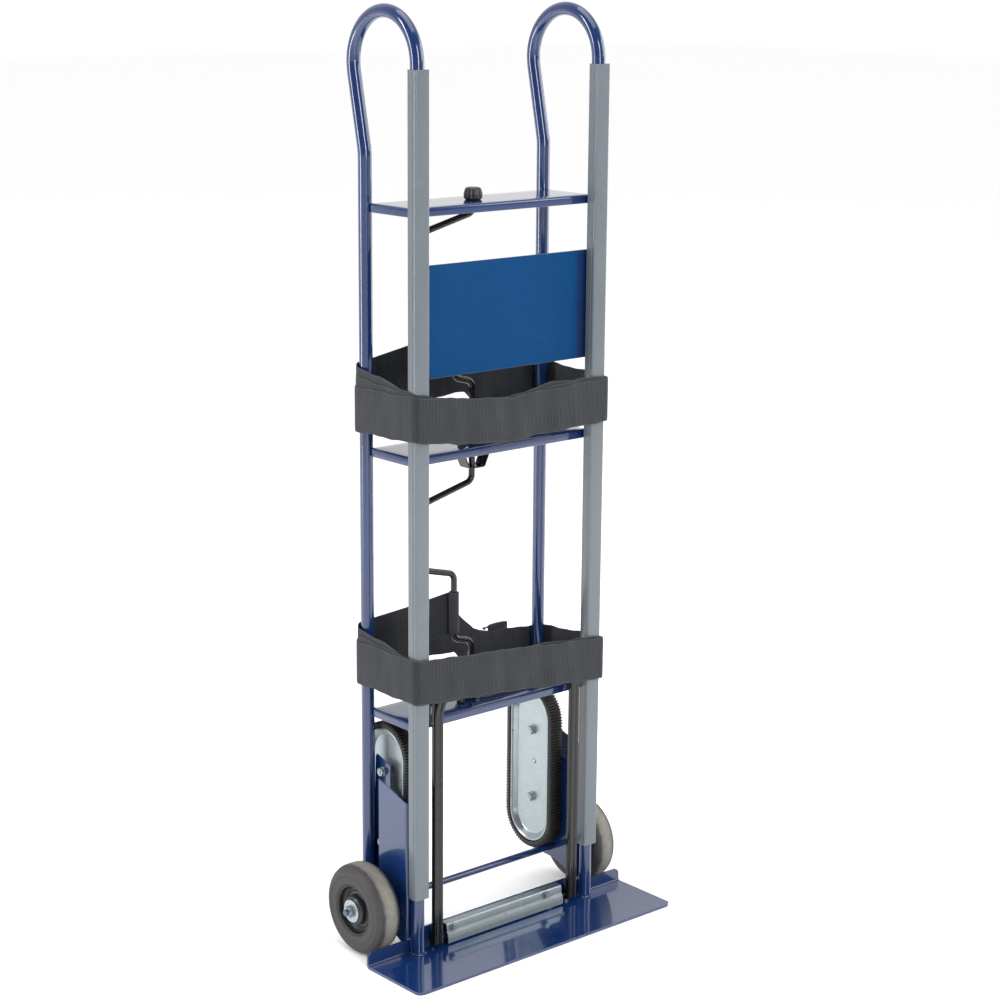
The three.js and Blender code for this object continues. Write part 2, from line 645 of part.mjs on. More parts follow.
piece('panel_label', box(-LABEL_HALF_WIDTH, LABEL_HALF_WIDTH, ...labelBox), FINISH.label);
piece('toe_plate', toePlate(), FINISH.blue);
const axleSpan = [-AXLE.halfLength, AXLE.halfLength];
piece('axle', rod(AXLE.radius, 'x', ...axleSpan, [0, AXLE.y, AXLE.z], 14), FINISH.blue);
piece('fold_frame', foldFrame(), FINISH.black);
const hingeSpan = [-HINGE.halfLength, HINGE.halfLength];
piece('frame_hinge_rod', rod(HINGE.radius, 'x', ...hingeSpan, [0, HINGE.y, HINGE.z]), FINISH.steel);
piece('hinge_channel', hingeChannel(), FINISH.zinc);
CHANNEL_BOLT_X.forEach((x, index) => {
  piece(`${['left', 'right'][index]}_channel_bolt`, channelBolt(x), FINISH.zinc);
});
piece('frame_latch', frameLatch(), FINISH.black);

export default trolley;
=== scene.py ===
"""Stair climbing trolley: a blue appliance hand truck, put together in the order of its assembly.

Metres, +Z up, X across the trolley and +Y towards its back. Each section makes one piece or one
group of like pieces, with its sizes, its mesh and its material together.
"""
import math

import bmesh
import bpy
import numpy as np
from mathutils import Matrix, Vector


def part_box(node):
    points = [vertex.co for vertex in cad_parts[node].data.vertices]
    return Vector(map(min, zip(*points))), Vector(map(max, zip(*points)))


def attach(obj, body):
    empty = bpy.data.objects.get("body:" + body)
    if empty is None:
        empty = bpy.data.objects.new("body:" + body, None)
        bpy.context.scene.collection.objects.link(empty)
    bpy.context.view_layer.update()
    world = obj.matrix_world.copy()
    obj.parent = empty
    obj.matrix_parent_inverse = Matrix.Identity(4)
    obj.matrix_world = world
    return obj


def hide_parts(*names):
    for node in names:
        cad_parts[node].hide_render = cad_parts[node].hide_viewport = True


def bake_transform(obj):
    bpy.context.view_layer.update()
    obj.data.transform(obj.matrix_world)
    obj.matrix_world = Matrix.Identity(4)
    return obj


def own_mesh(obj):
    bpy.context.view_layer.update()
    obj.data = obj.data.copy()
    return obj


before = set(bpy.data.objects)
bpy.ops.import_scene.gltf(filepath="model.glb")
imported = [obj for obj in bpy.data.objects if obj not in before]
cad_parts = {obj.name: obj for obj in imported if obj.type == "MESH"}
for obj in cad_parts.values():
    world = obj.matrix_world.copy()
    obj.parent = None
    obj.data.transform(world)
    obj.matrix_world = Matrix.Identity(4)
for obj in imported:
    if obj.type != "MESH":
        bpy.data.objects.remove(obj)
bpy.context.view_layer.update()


# ---- Camera ----
# A long lens at chest height, off the trolley's left front corner. It looks a little down.
camera_azimuth = math.radians(-40.94)
camera_elevation = math.radians(13.38)
camera_roll = math.radians(0.45)
camera_target = Vector((0.0367, 0.060, 0.7244))
camera_distance = 3.7626

camera_data = bpy.data.cameras.new("camera")
camera_data.lens = 82.14
camera_data.sensor_width = 36.0
camera_data.clip_end = 60.0
camera_data.dof.use_dof = False
camera = bpy.data.objects.new("camera", camera_data)
bpy.context.scene.collection.objects.link(camera)
backward = Vector((
    math.sin(camera_azimuth) * math.cos(camera_elevation),
    -math.cos(camera_azimuth) * math.cos(camera_elevation),
    math.sin(camera_elevation),
))
level = Vector((math.cos(camera_azimuth), math.sin(camera_azimuth), 0.0))
upward = backward.cross(level)
rolled_right = level * math.cos(camera_roll) + upward * math.sin(camera_roll)
rolled_up = upward * math.cos(camera_roll) - level * math.sin(camera_roll)
camera_turn = Matrix((rolled_right, rolled_up, backward)).transposed().to_4x4()
camera.matrix_world = Matrix.Translation(camera_target + backward * camera_distance) @ camera_turn
bpy.context.scene.camera = camera


# ---- Side tubes ----
# Each side of the trolley is one length of 22 mm steel tube: a front leg, a handle loop and a rear
# leg. It is bent on a mandrel, welded to the shelves and coated with gloss blue powder.
tube_radius = 0.011
tube_wall = 0.002
rail_x = abs(sum(c[0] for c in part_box("left_side_tube"))) / 2
handle_radius = 0.0785
handle_height = 1.437
handle_lean = math.radians(12)
rear_leg_y = 0.1297
rear_foot_z = 0.060
toe_top = 0.005


def rounded(corners, radius, steps=8, closed=False):
    """A line through corners, each inner corner replaced by an arc that touches both sides.

    The arc starts radius * tan(half the turn) before the corner. Its point at angle a is
    start + radius * (sin a * heading + (1 - cos a) * inward).
    """
    corners = np.asarray(corners, float)
    radii = np.broadcast_to(radius, (len(corners),))
    parts = []
    for index, corner in enumerate(corners):
        at_end = not closed and index in (0, len(corners) - 1)
        before = corner - corners[index - 1]
        after = corners[(index + 1) % len(corners)] - corner
        if at_end or radii[index] <= 0:
            parts.append(corner[None])
            continue
        before = before / np.linalg.norm(before)
        after = after / np.linalg.norm(after)
        turn = math.acos(float(np.clip(before @ after, -1, 1)))
        if turn < 1e-3:
            parts.append(corner[None])
            continue
        inward = after - before * math.cos(turn)
        inward = inward / np.linalg.norm(inward)
        start = corner - before * radii[index] * math.tan(turn / 2)
        angle = np.linspace(0, turn, steps + 1)[:, None]
        parts.append(start + radii[index] * (np.sin(angle) * before + (1 - np.cos(angle)) * inward))
    return np.vstack(parts)


def make_object(name, places, faces, material, uv=None, sharp=35.0):
    """A mesh object from points and faces. Doubles are merged and faces turned outwards."""
    mesh = bpy.data.meshes.new(name)
    mesh.from_pydata(np.asarray(places, float).tolist(), [], faces)
    if uv is not None:
        layer = mesh.uv_layers.new(name="flat")
        corner_points = np.empty(len(mesh.loops), dtype=np.int32)
        mesh.loops.foreach_get("vertex_index", corner_points)
        layer.data.foreach_set("uv", np.asarray(uv, float)[corner_points].ravel())
    shell = bmesh.new()
    shell.from_mesh(mesh)
    bmesh.ops.remove_doubles(shell, verts=shell.verts, dist=1e-7)
    bmesh.ops.recalc_face_normals(shell, faces=shell.faces)
    shell.to_mesh(mesh)
    shell.free()
    mesh.shade_smooth()
    mesh.set_sharp_from_angle(angle=math.radians(sharp))
    mesh.materials.append(material)
    piece = bpy.data.objects.new(name, mesh)
    bpy.context.scene.collection.objects.link(piece)
    return piece


def grid(points, wrap=False, wrap_rows=False, caps=True):
    """Faces of a grid of points (rows, columns, 3): each quad joins a point to the next point in
    its row and to the pair below. wrap joins the last column to the first, wrap_rows the last row
    to the first, and caps closes the first and last rows with one flat face each."""
    points = np.asarray(points, float)
    rows, columns = points.shape[:2]
    number = np.arange(rows * columns).reshape(rows, columns)
    below = np.roll(number, -1, axis=0)
    right = np.roll(number, -1, axis=1)
    diagonal = np.roll(below, -1, axis=1)
    quads = np.stack([number, right, diagonal, below], axis=-1)
    quads = quads[: rows if wrap_rows else rows - 1, : columns if wrap else columns - 1]
    faces = quads.reshape(-1, 4).tolist()
    if caps and wrap and not wrap_rows:
        faces += [number[0][::-1].tolist(), number[-1].tolist()]
    return points.reshape(-1, 3), faces


def combined(*parts):
    """Several (points, faces) pairs as one, with the face numbers moved on."""
    places = np.vstack([points for points, _ in parts])
    faces = []
    moved = 0
    for points, part_faces in parts:
        faces += [[number + moved for number in face] for face in part_faces]
        moved += len(points)
    return places, faces


def swept(path, section, normal):
    """A section carried along a path that lies in one plane with the given normal.

    At each point the section's first number runs along the normal and its second along
    heading x normal. section is (columns, 2), or (rows, columns, 2) where it changes.
    """
    path = np.asarray(path, float)
    heading = np.gradient(path, axis=0)
    heading = heading / np.linalg.norm(heading, axis=1, keepdims=True)
    normal = np.asarray(normal, float)
    across = np.cross(heading, normal)
    section = np.broadcast_to(section, (len(path),) + np.shape(section)[-2:])
    return path[:, None] + section[..., :1] * normal + section[..., 1:] * across[:, None]


def circle(radius, count):
    """Points at equal angles round a circle."""
    angle = np.linspace(0, 2 * math.pi, count, endpoint=False)
    return radius * np.stack([np.cos(angle), np.sin(angle)], axis=-1)


def pipe(path, radius, normal, sides=32, bore=None):
    """A round bar along a path. With a bore, each end shows the open end of a tube."""
    path = np.asarray(path, float)
    if bore:
        depth = 1.5 * bore
        first = path[0] + (path[1] - path[0]) / np.linalg.norm(path[1] - path[0]) * depth
        last = path[-1] + (path[-2] - path[-1]) / np.linalg.norm(path[-2] - path[-1]) * depth
        rows = swept(path, circle(radius, sides), normal)
        lip_first = path[0] + (rows[0] - path[0]) * bore / radius
        lip_last = path[-1] + (rows[-1] - path[-1]) * bore / radius
        in_first = first + (lip_first - path[0])
        in_last = last + (lip_last - path[-1])
        rows = np.concatenate([[in_first], [lip_first], rows, [lip_last], [in_last]])
        return grid(rows, wrap=True)
    return grid(swept(path, circle(radius, sides), normal), wrap=True)


def node_group(name, inputs, outputs):
    """A shader node group with named sockets, its input node and its output node."""
    tree = bpy.data.node_groups.new(name, "ShaderNodeTree")
    for label, kind, default in inputs:
        socket = tree.interface.new_socket(label, in_out="INPUT", socket_type=kind)
        if default is not None:
            socket.default_value = default
    for label, kind in outputs:
        tree.interface.new_socket(label, in_out="OUTPUT", socket_type=kind)
    return tree, tree.nodes.new("NodeGroupInput"), tree.nodes.new("NodeGroupOutput")


def add_node(tree, kind, links=None, **values):
    """A node with its properties and socket values set, and its inputs linked."""
    node = tree.nodes.new(kind)
    for key, value in values.items():
        setattr(node, key, value)
    for key, value in (links or {}).items():
        if isinstance(value, bpy.types.NodeSocket):
            tree.links.new(value, node.inputs[key])
        else:
            node.inputs[key].default_value = value
    return node


def build_tone_group():
    """Colour and gloss that drift over a surface: broad clouds plus fine specks of dust.

    Shade = colour * factor, where the factor runs from 1 - amount to 1 + amount as the cloud rises
    from 0.3 to 0.7. Roughness runs from its low to its high value over the same range.
    """
    tree, inside, outside = node_group(
        "surface_tone",
        [("Vector", "NodeSocketVector", None), ("Colour", "NodeSocketColor", (0.5, 0.5, 0.5, 1)),
         ("Dust Colour", "NodeSocketColor", (0.6, 0.6, 0.6, 1)),
         ("Cloud Scale", "NodeSocketFloat", 9.0), ("Amount", "NodeSocketFloat", 0.12),
         ("Dust", "NodeSocketFloat", 0.1), ("Rough Low", "NodeSocketFloat", 0.25),
         ("Rough High", "NodeSocketFloat", 0.35)],
        [("Colour", "NodeSocketColor"), ("Roughness", "NodeSocketFloat")],
    )
    cloud = add_node(tree, "ShaderNodeTexNoise", {
        "Vector": inside.outputs["Vector"], "Scale": inside.outputs["Cloud Scale"],
        "Detail": 5.0, "Roughness": 0.6,
    })
    speck = add_node(tree, "ShaderNodeTexNoise", {
        "Vector": inside.outputs["Vector"], "Scale": 420.0, "Detail": 2.0,
    })
    low = add_node(tree, "ShaderNodeMath", {0: 1.0, 1: inside.outputs["Amount"]}, operation="SUBTRACT")
    high = add_node(tree, "ShaderNodeMath", {0: 1.0, 1: inside.outputs["Amount"]}, operation="ADD")
    shade = add_node(tree, "ShaderNodeMapRange", {
        "Value": cloud.outputs["Fac"], "From Min": 0.3, "From Max": 0.7,
        "To Min": low.outputs[0], "To Max": high.outputs[0],
    })
    tinted = add_node(tree, "ShaderNodeVectorMath", {
        0: inside.outputs["Colour"], "Scale": shade.outputs["Result"],
    }, operation="SCALE")
    dusty = add_node(tree, "ShaderNodeMapRange", {
        "Value": speck.outputs["Fac"], "From Min": 0.56, "From Max": 0.78,
        "To Min": 0.0, "To Max": inside.outputs["Dust"],
    })
    mixed = add_node(tree, "ShaderNodeMixRGB", {
        "Fac": dusty.outputs["Result"], "Color1": tinted.outputs["Vector"],
        "Color2": inside.outputs["Dust Colour"],
    })
    rough = add_node(tree, "ShaderNodeMapRange", {
        "Value": cloud.outputs["Fac"], "From Min": 0.3, "From Max": 0.7,
        "To Min": inside.outputs["Rough Low"], "To Max": inside.outputs["Rough High"],
    })
    tree.links.new(mixed.outputs["Color"], outside.inputs["Colour"])
    tree.links.new(rough.outputs["Result"], outside.inputs["Roughness"])
    return tree


def build_grain_group():
    """Height of a fine pebbled skin: noise at the grain's own size plus one a quarter as big."""
    tree, inside, outside = node_group(
        "fine_grain",
        [("Vector", "NodeSocketVector", None), ("Grains per Metre", "NodeSocketFloat", 600.0),
         ("Fine Share", "NodeSocketFloat", 0.3)],
        [("Height", "NodeSocketFloat")],
    )
    finer = add_node(tree, "ShaderNodeMath", {
        0: inside.outputs["Grains per Metre"], 1: 4.0,
    }, operation="MULTIPLY")
    broad = add_node(tree, "ShaderNodeTexNoise", {
        "Vector": inside.outputs["Vector"], "Scale": inside.outputs["Grains per Metre"], "Detail": 1.0,
    })
    fine = add_node(tree, "ShaderNodeTexNoise", {
        "Vector": inside.outputs["Vector"], "Scale": finer.outputs[0], "Detail": 1.0,
    })
    part = add_node(tree, "ShaderNodeMath", {
        0: fine.outputs["Fac"], 1: inside.outputs["Fine Share"],
    }, operation="MULTIPLY")
    total = add_node(tree, "ShaderNodeMath", {0: broad.outputs["Fac"], 1: part.outputs[0]}, operation="ADD")
    tree.links.new(total.outputs[0], outside.inputs["Height"])
    return tree


tone_group = build_tone_group()
grain_group = build_grain_group()


def finish(name, colour, rough, drift=0.1, dust=0.06, cloud=9.0, grains=600.0, grain_height=2e-5,
           dust_colour=(0.55, 0.56, 0.6), **shader_values):
    """A material with drifting tone, dust specks and a fine grain, on Object coordinates."""
    material = bpy.data.materials.new(name)
    material.use_nodes = True
    tree = material.node_tree
    shader = tree.nodes["Principled BSDF"]
    place = add_node(tree, "ShaderNodeTexCoord").outputs["Object"]
    tone = add_node(tree, "ShaderNodeGroup", node_tree=tone_group)
    tree.links.new(place, tone.inputs["Vector"])
    tone.inputs["Colour"].default_value = (*colour, 1)
    tone.inputs["Dust Colour"].default_value = (*dust_colour, 1)
    tone.inputs["Cloud Scale"].default_value = cloud
    tone.inputs["Amount"].default_value = drift
    tone.inputs["Dust"].default_value = dust
    tone.inputs["Rough Low"].default_value = rough[0]
    tone.inputs["Rough High"].default_value = rough[1]
    grain = add_node(tree, "ShaderNodeGroup", node_tree=grain_group)
    tree.links.new(place, grain.inputs["Vector"])
    grain.inputs["Grains per Metre"].default_value = grains
    bump = add_node(tree, "ShaderNodeBump", {"Height": grain.outputs["Height"], "Distance": grain_height})
    bump.name = "surface_bump"
    tree.links.new(tone.outputs["Colour"], shader.inputs["Base Color"])
    tree.links.new(tone.outputs["Roughness"], shader.inputs["Roughness"])
    tree.links.new(bump.outputs["Normal"], shader.inputs["Normal"])
    for key, value in shader_values.items():
        shader.inputs[key.replace("_", " ")].default_value = value
    return material


blue_paint = finish(
    "blue_paint", (0.0034, 0.0200, 0.088), (0.15, 0.24), grains=420.0, grain_height=5e-6, dust=0.03,
    Coat_Weight=1.0, Coat_Roughness=0.03, Specular_IOR_Level=0.4,
)


def side_line():
    """The tube's middle line in (y, z): up the front leg, over the loop and down the rear leg."""
    top = handle_height + handle_radius
    exit_y = handle_radius + handle_radius * math.cos(handle_lean)
    exit_z = handle_height - handle_radius * math.sin(handle_lean)
    corner_y = handle_radius * (1 + math.tan((math.pi / 2 + handle_lean) / 2))
    knee_z = exit_z - (exit_y - rear_leg_y) / math.tan(handle_lean)
    corners = [(0, toe_top), (0, top), (corner_y, top), (rear_leg_y, knee_z), (rear_leg_y, rear_foot_z)]
    return rounded(corners, handle_radius, steps=28)


def finished(piece, body, slot, *nodes, bevel=0.0, segments=2, angle=35.0):
    """Bevels a piece, parents it to the body it rides on and hides the nodes it stands for. The slot
    argument is not used.
    """
    if bevel:
        edge = piece.modifiers.new("soft_edges", "BEVEL")
        edge.width = bevel
        edge.segments = segments
        edge.limit_method = "ANGLE"
        edge.angle_limit = math.radians(angle)
        edge.harden_normals = True
    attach(piece, body)
    if nodes:
        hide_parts(*nodes)
    return piece


sides = (("left", -1), ("right", 1))
for word, side in sides:
    line = side_line()
    path = np.column_stack([np.full(len(line), side * rail_x), line])
    places, faces = pipe(path, tube_radius, (1, 0, 0), sides=40, bore=tube_radius - tube_wall)
    tube = make_object(f"{word}_tube", places, faces, blue_paint)
    finished(tube, "root", "blue_paint", f"{word}_side_tube")


# ---- Rub strips ----
# A grey moulded channel snaps over each front leg, so that the load slides up and down without
# marking. Its front corners are round, and a shallow groove and a step run down each flank.
strip_half = 0.0145
strip_front = -0.0135
strip_back = 0.0065
strip_step = 0.0008
strip_groove = 0.0009
grey_strip = finish(
    "grey_strip", (0.104, 0.122, 0.138), (0.14, 0.22), drift=0.05, grains=900.0, grain_height=1.2e-5,
    dust=0.05, Specular_IOR_Level=0.4, Coat_Weight=0.3, Coat_Roughness=0.04,
)


def strip_section():
    """Closed outline in (x, y): round front corners, a groove and a step on each flank, and a round
    bore behind."""
    bore = tube_radius + 0.0003
    half = [(bore, strip_back), (strip_half - strip_step, strip_back), (strip_half - strip_step, 0.0015),
            (strip_half, 0.0007), (strip_half, -0.0058), (strip_half - strip_groove, -0.0064),
            (strip_half - strip_groove, -0.0078), (strip_half, -0.0084), (strip_half, strip_front)]
    left_half = [(-x, y) for x, y in half[::-1]]
    flank = [0, 0.0006, 0, 0, 0.0004, 0.0004, 0.0004, 0.0004, 0.0036]
    radii = flank + flank[::-1]
    shell = rounded(half + left_half, radii, steps=7, closed=True)
    angle = np.linspace(math.pi, 2 * math.pi, 15)
    inner = bore * np.column_stack([np.cos(angle), np.sin(angle)])
    return np.vstack([shell, inner])


def prism(outline, axis, low, high):
    """A closed outline stretched straight along an axis. The outline is in the other two axes."""
    outline = np.asarray(outline, float)
    rows = np.empty((2, len(outline), 3))
    rows[:, :, [i for i in range(3) if i != axis]] = outline
    rows[0, :, axis] = low
    rows[1, :, axis] = high
    return grid(rows, wrap=True)


for word, side in sides:
    low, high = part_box(f"{word}_rub_strip")
    outline = strip_section() + (side * rail_x, 0)
    strip = make_object(f"{word}_strip", *prism(outline, 2, low[2], high[2]), grey_strip, sharp=30.0)
    finished(strip, "root", "grey_strip", f"{word}_rub_strip")


# ---- Shelves ----
# Three shelves tie the side tubes together. Each is a pan pressed from 2.5 mm sheet, with its edges
# turned down and its corners welded to the tubes before painting.
shelf_words = ("lower", "middle", "top")
shelf_sheet = 0.0025
shelf_bend = 0.004


def rectangle_ring(half_x, half_y, corner, steps=5):
    """Points round a rectangle with round corners, the same number whatever its size."""
    corners = [(half_x, half_y), (-half_x, half_y), (-half_x, -half_y), (half_x, -half_y)]
    return rounded(corners, corner, steps=steps, closed=True)


def shelf_mesh(low, high):
    """Rings of a round-cornered rectangle, each inset and dropped as the pan's wall is followed
    from the middle of the top, round the bend, down the edge and back up inside."""
    middle = (np.asarray(low) + high) / 2
    half_x, half_y = (high[0] - low[0]) / 2, (high[1] - low[1]) / 2
    drop = high[2] - low[2]
    inner = shelf_bend - shelf_sheet
    wall = rounded([(0.02, 0), (0, 0), (0, -drop), (shelf_sheet, -drop), (shelf_sheet, -shelf_sheet),
                    (0.02, -shelf_sheet)], [0, shelf_bend, 0.0006, 0.0006, inner, 0], steps=5)
    rows = []
    for inset, height in wall:
        ring = rectangle_ring(half_x - inset, half_y - inset, max(0.005 - inset, 0.0004))
        rows.append(np.column_stack([ring + middle[:2], np.full(len(ring), high[2] + height)]))
    return grid(np.array(rows), wrap=True)


for word in shelf_words:
    places, faces = shelf_mesh(*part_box(f"{word}_shelf"))
    shelf = make_object(f"{word}_shelf_pan", places, faces, blue_paint, sharp=30.0)
    finished(shelf, "root", "blue_paint", f"{word}_shelf")


# ---- Back panel and label ----
# A steel plate is welded across the back of the front legs. A plain blue film label covers its face.
def flat_plate(low, high, axis, corner, steps=5):
    """A rectangular plate with round corners, its faces square to the given axis."""
    low, high = np.asarray(low), np.asarray(high)
    flat = [index for index in range(3) if index != axis]
    middle, half = ((low + high) / 2)[flat], ((high - low) / 2)[flat]
    return prism(rectangle_ring(*half, corner, steps) + middle, axis, low[axis], high[axis])


panel = make_object("panel_plate", *flat_plate(*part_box("back_panel"), 1, 0.004), blue_paint)
finished(panel, "root", "blue_paint", "back_panel", bevel=0.0005)

label_film = finish(
    "label_film", (0.0022, 0.0400, 0.125), (0.42, 0.52), drift=0.03, dust=0.02, grains=1500.0,
    grain_height=4e-6, Specular_IOR_Level=0.05,
)
label = make_object("label_sheet", *flat_plate(*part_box("panel_label"), 1, 0.003), label_film)
finished(label, "root", "blue_label", "panel_label", bevel=0.00015)


# ---- Toe plate ----
# The load stands on a 5 mm steel plate. Its back edge is turned up against the front legs and is
# higher between them. Each tube foot is welded to the plate all round.
toe_sheet = 0.005
flange_sheet = 0.004
toe_corner = 0.012
flange_corner = 0.010
flange_low = 0.027
raised_half = rail_x - 0.014
weld_gap = 0.0008
weld_ripple = 0.0034


def bent_sheet(line, low, high, thickness, flat_axes):
    """Sheet metal bent along a line in the two flat axes. At each station the sheet reaches from
    low to high along the third axis. A section is a closed loop: the outer face from low to high,
    then the inner face back, each half the thickness away from the line along its normal."""
    line = np.asarray(line, float)
    heading = np.gradient(line, axis=0)
    heading = heading / np.linalg.norm(heading, axis=1, keepdims=True)
    normal = np.column_stack([-heading[:, 1], heading[:, 0]])
    half = np.broadcast_to(thickness, (len(line),))[:, None] / 2
    low, high = (np.broadcast_to(value, (len(line),)) for value in (low, high))
    reach = np.column_stack([low, high])
    third = 3 - sum(flat_axes)
    points = np.empty((len(line), 4, 3))
    for face, sign in ((slice(0, 2), 1), (slice(2, 4), -1)):
        points[:, face, flat_axes[0]] = (line + sign * half * normal)[:, :1]
        points[:, face, flat_axes[1]] = (line + sign * half * normal)[:, 1:]
        points[:, face, third] = reach[:, ::sign]
    return grid(points, wrap=True)


def toe_mesh(low, high):
    """The sheet's line runs back along the plate and up the flange. Its half width follows the
    round front corners, the round flange ends and the raised middle of the flange."""
    half = high[0]
    middle_y = high[1] - flange_sheet / 2
    middle_z = toe_sheet / 2
    turn = np.linspace(0, math.pi / 2, 9)
    front_y = low[1] + toe_corner * (1 - np.cos(turn))
    front_half = half - toe_corner * (1 - np.sin(turn))
    bend = rounded([(0.0, middle_z), (middle_y, middle_z), (middle_y, 0.017)], 0.0055, steps=8)[1:]
    end_z = flange_low - flange_corner + flange_corner * np.sin(turn[1:])
    end_half = half - flange_corner * (1 - np.cos(turn[1:]))
    top_z = np.array([flange_low + 0.0003, high[2] - 0.003, high[2] - 0.001, high[2]])
    top_half = np.array([raised_half + 0.010, raised_half + 0.0015, raised_half, raised_half - 0.0025])
    line = np.vstack([
        np.column_stack([front_y, np.full(len(front_y), middle_z)]), bend,
        np.column_stack([np.full(len(end_z), middle_y), end_z]),
        np.column_stack([np.full(len(top_z), middle_y), top_z]),
    ])
    widths = np.concatenate([front_half, np.full(len(bend), half), end_half, top_half])
    sheet = np.interp(line[:, 1], [middle_z, 0.010], [toe_sheet, flange_sheet])
    return bent_sheet(line, -widths, widths, sheet, (1, 2))


def bead(path, radius, ripple, closed=False, sides=8):
    """A weld bead: a small round bar along a path, its radius rippling once every ripple metres."""
    path = np.asarray(path, float)
    steps = np.linalg.norm(np.diff(path, axis=0), axis=1)
    length = np.concatenate([[0], np.cumsum(steps)])
    size = radius * (1 + 0.14 * np.sin(2 * math.pi * length / ripple))
    ahead = np.roll(path, -1, axis=0) - np.roll(path, 1, axis=0) if closed else np.gradient(path, axis=0)
    ahead = ahead / np.linalg.norm(ahead, axis=1, keepdims=True)
    reference = np.where(np.abs(ahead[:, 2:]) > 0.9, [[1.0, 0, 0]], [[0, 0, 1.0]])
    first = np.cross(ahead, reference)
    first = first / np.linalg.norm(first, axis=1, keepdims=True)
    second = np.cross(ahead, first)
    ring = circle(1.0, sides)
    rows = path[:, None] + size[:, None, None] * (
        ring[None, :, :1] * first[:, None] + ring[None, :, 1:] * second[:, None])
    return grid(rows, wrap=True, wrap_rows=closed, caps=not closed)


def straight(start, end):
    """Points from start to end, just under a millimetre apart."""
    start, end = np.asarray(start, float), np.asarray(end, float)
    count = max(2, int(np.linalg.norm(end - start) / 0.0009))
    return start + (end - start) * np.linspace(0, 1, count)[:, None]


toe = make_object("toe_sheet", *toe_mesh(*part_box("toe_plate")), blue_paint, sharp=30.0)
finished(toe, "root", "blue_paint", "toe_plate", bevel=0.0008, angle=50.0)

foot_beads = []
ring_angle = np.linspace(0, 2 * math.pi, 96, endpoint=False)
for word, side in sides:
    around = np.column_stack([
        side * rail_x + (tube_radius + weld_gap) * np.cos(ring_angle),
        (tube_radius + weld_gap) * np.sin(ring_angle),
        np.full(len(ring_angle), toe_top + weld_gap),
    ])
    foot_beads.append(bead(around, 0.0024, weld_ripple, closed=True))
    for edge in (-1, 1):
        x = side * rail_x + edge * 0.0055
        foot_beads.append(bead(straight((x, 0.0105, 0.010), (x, 0.0105, 0.036)), 0.0020, weld_ripple))
foot_welds = make_object("foot_welds", *combined(*foot_beads), blue_paint)
finished(foot_welds, "root", "blue_paint")

shelf_beads = []
for word in shelf_words:
    low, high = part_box(f"{word}_shelf")
    for side in (-1, 1):
        for y in (low[1] - 0.0004, high[1] + 0.0004):
            x = side * (rail_x - 0.006)
            upright = straight((x, y, low[2] + 0.001), (x, y, high[2] - 0.001))
            shelf_beads.append(bead(upright, 0.0022, weld_ripple))
shelf_welds = make_object("shelf_welds", *combined(*shelf_beads), blue_paint)
finished(shelf_welds, "root", "blue_paint")


# ---- Wheel brackets ----
# A channel folded from 2.4 mm sheet wraps the foot of each side tube and opens backwards. The axle
# passes through both walls, and the inner wall rises to a tab that carries the climber.
bracket_sheet = 0.0024


def bracket_mesh(low, high, side):
    """The sheet's line in (x, y) goes from the back of the outer wall, round the web behind the
    tube, to the back of the inner wall. Its lower and upper edges are read off per station."""
    outer = side * (max(abs(low[0]), abs(high[0])) - bracket_sheet / 2)
    inner = side * (min(abs(low[0]), abs(high[0])) + bracket_sheet / 2)
    web_y = low[1] + bracket_sheet / 2
    outer_y = np.array([0.085, 0.060, 0.035, 0.020, 0.0165, 0.0160])
    outer_low = np.interp(outer_y, [0.0160, 0.0165, 0.085], [0.028, 0.015, 0.048])
    outer_high = np.interp(outer_y, [0.0113, 0.085], [0.264, 0.287])
    inner_y = np.array([0.0160, 0.041, 0.054, 0.067, 0.0855, 0.0860, 0.112, 0.122, 0.125, 0.133])
    inner_low = np.interp(inner_y, [0.0160, 0.041, 0.067, 0.133], [0.042, 0.0493, 0.0575, 0.060])
    inner_high = np.interp(
        inner_y, [0.0113, 0.0855, 0.0860, 0.122, 0.125, 0.133], [0.241, 0.262, 0.302, 0.314, 0.308, 0.073])
    web = rounded([(outer, 0.0155), (outer, web_y), (inner, web_y), (inner, 0.0155)],
                  [0, 0.003, 0.003, 0], steps=6)[1:-1]
    line = np.vstack([
        np.column_stack([np.full(len(outer_y), outer), outer_y]), web,
        np.column_stack([np.full(len(inner_y), inner), inner_y]),
    ])
    web_high = np.interp(np.abs(web[:, 0]), sorted([abs(inner), abs(outer)]), [0.243, 0.265])
    web_low = np.interp(np.abs(web[:, 0]), [0.174, 0.185], [0.042, 0.028])
    lows = np.concatenate([outer_low, web_low, inner_low])
    highs = np.concatenate([outer_high, web_high, inner_high])
    return bent_sheet(line, lows, highs, bracket_sheet, (0, 1))


for word, side in sides:
    places, faces = bracket_mesh(*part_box(f"{word}_wheel_bracket"), side)
    bracket = make_object(f"{word}_bracket", places, faces, blue_paint, sharp=30.0)
    finished(bracket, "root", "blue_paint", f"{word}_wheel_bracket", bevel=0.0006, angle=50.0)


# ---- Axle ----
# One blue steel rod runs from wheel to wheel through the brackets. Each end carries a wide zinc
# washer and a nut, with a little thread left showing.
zinc_tone = (0.36, 0.41, 0.43)


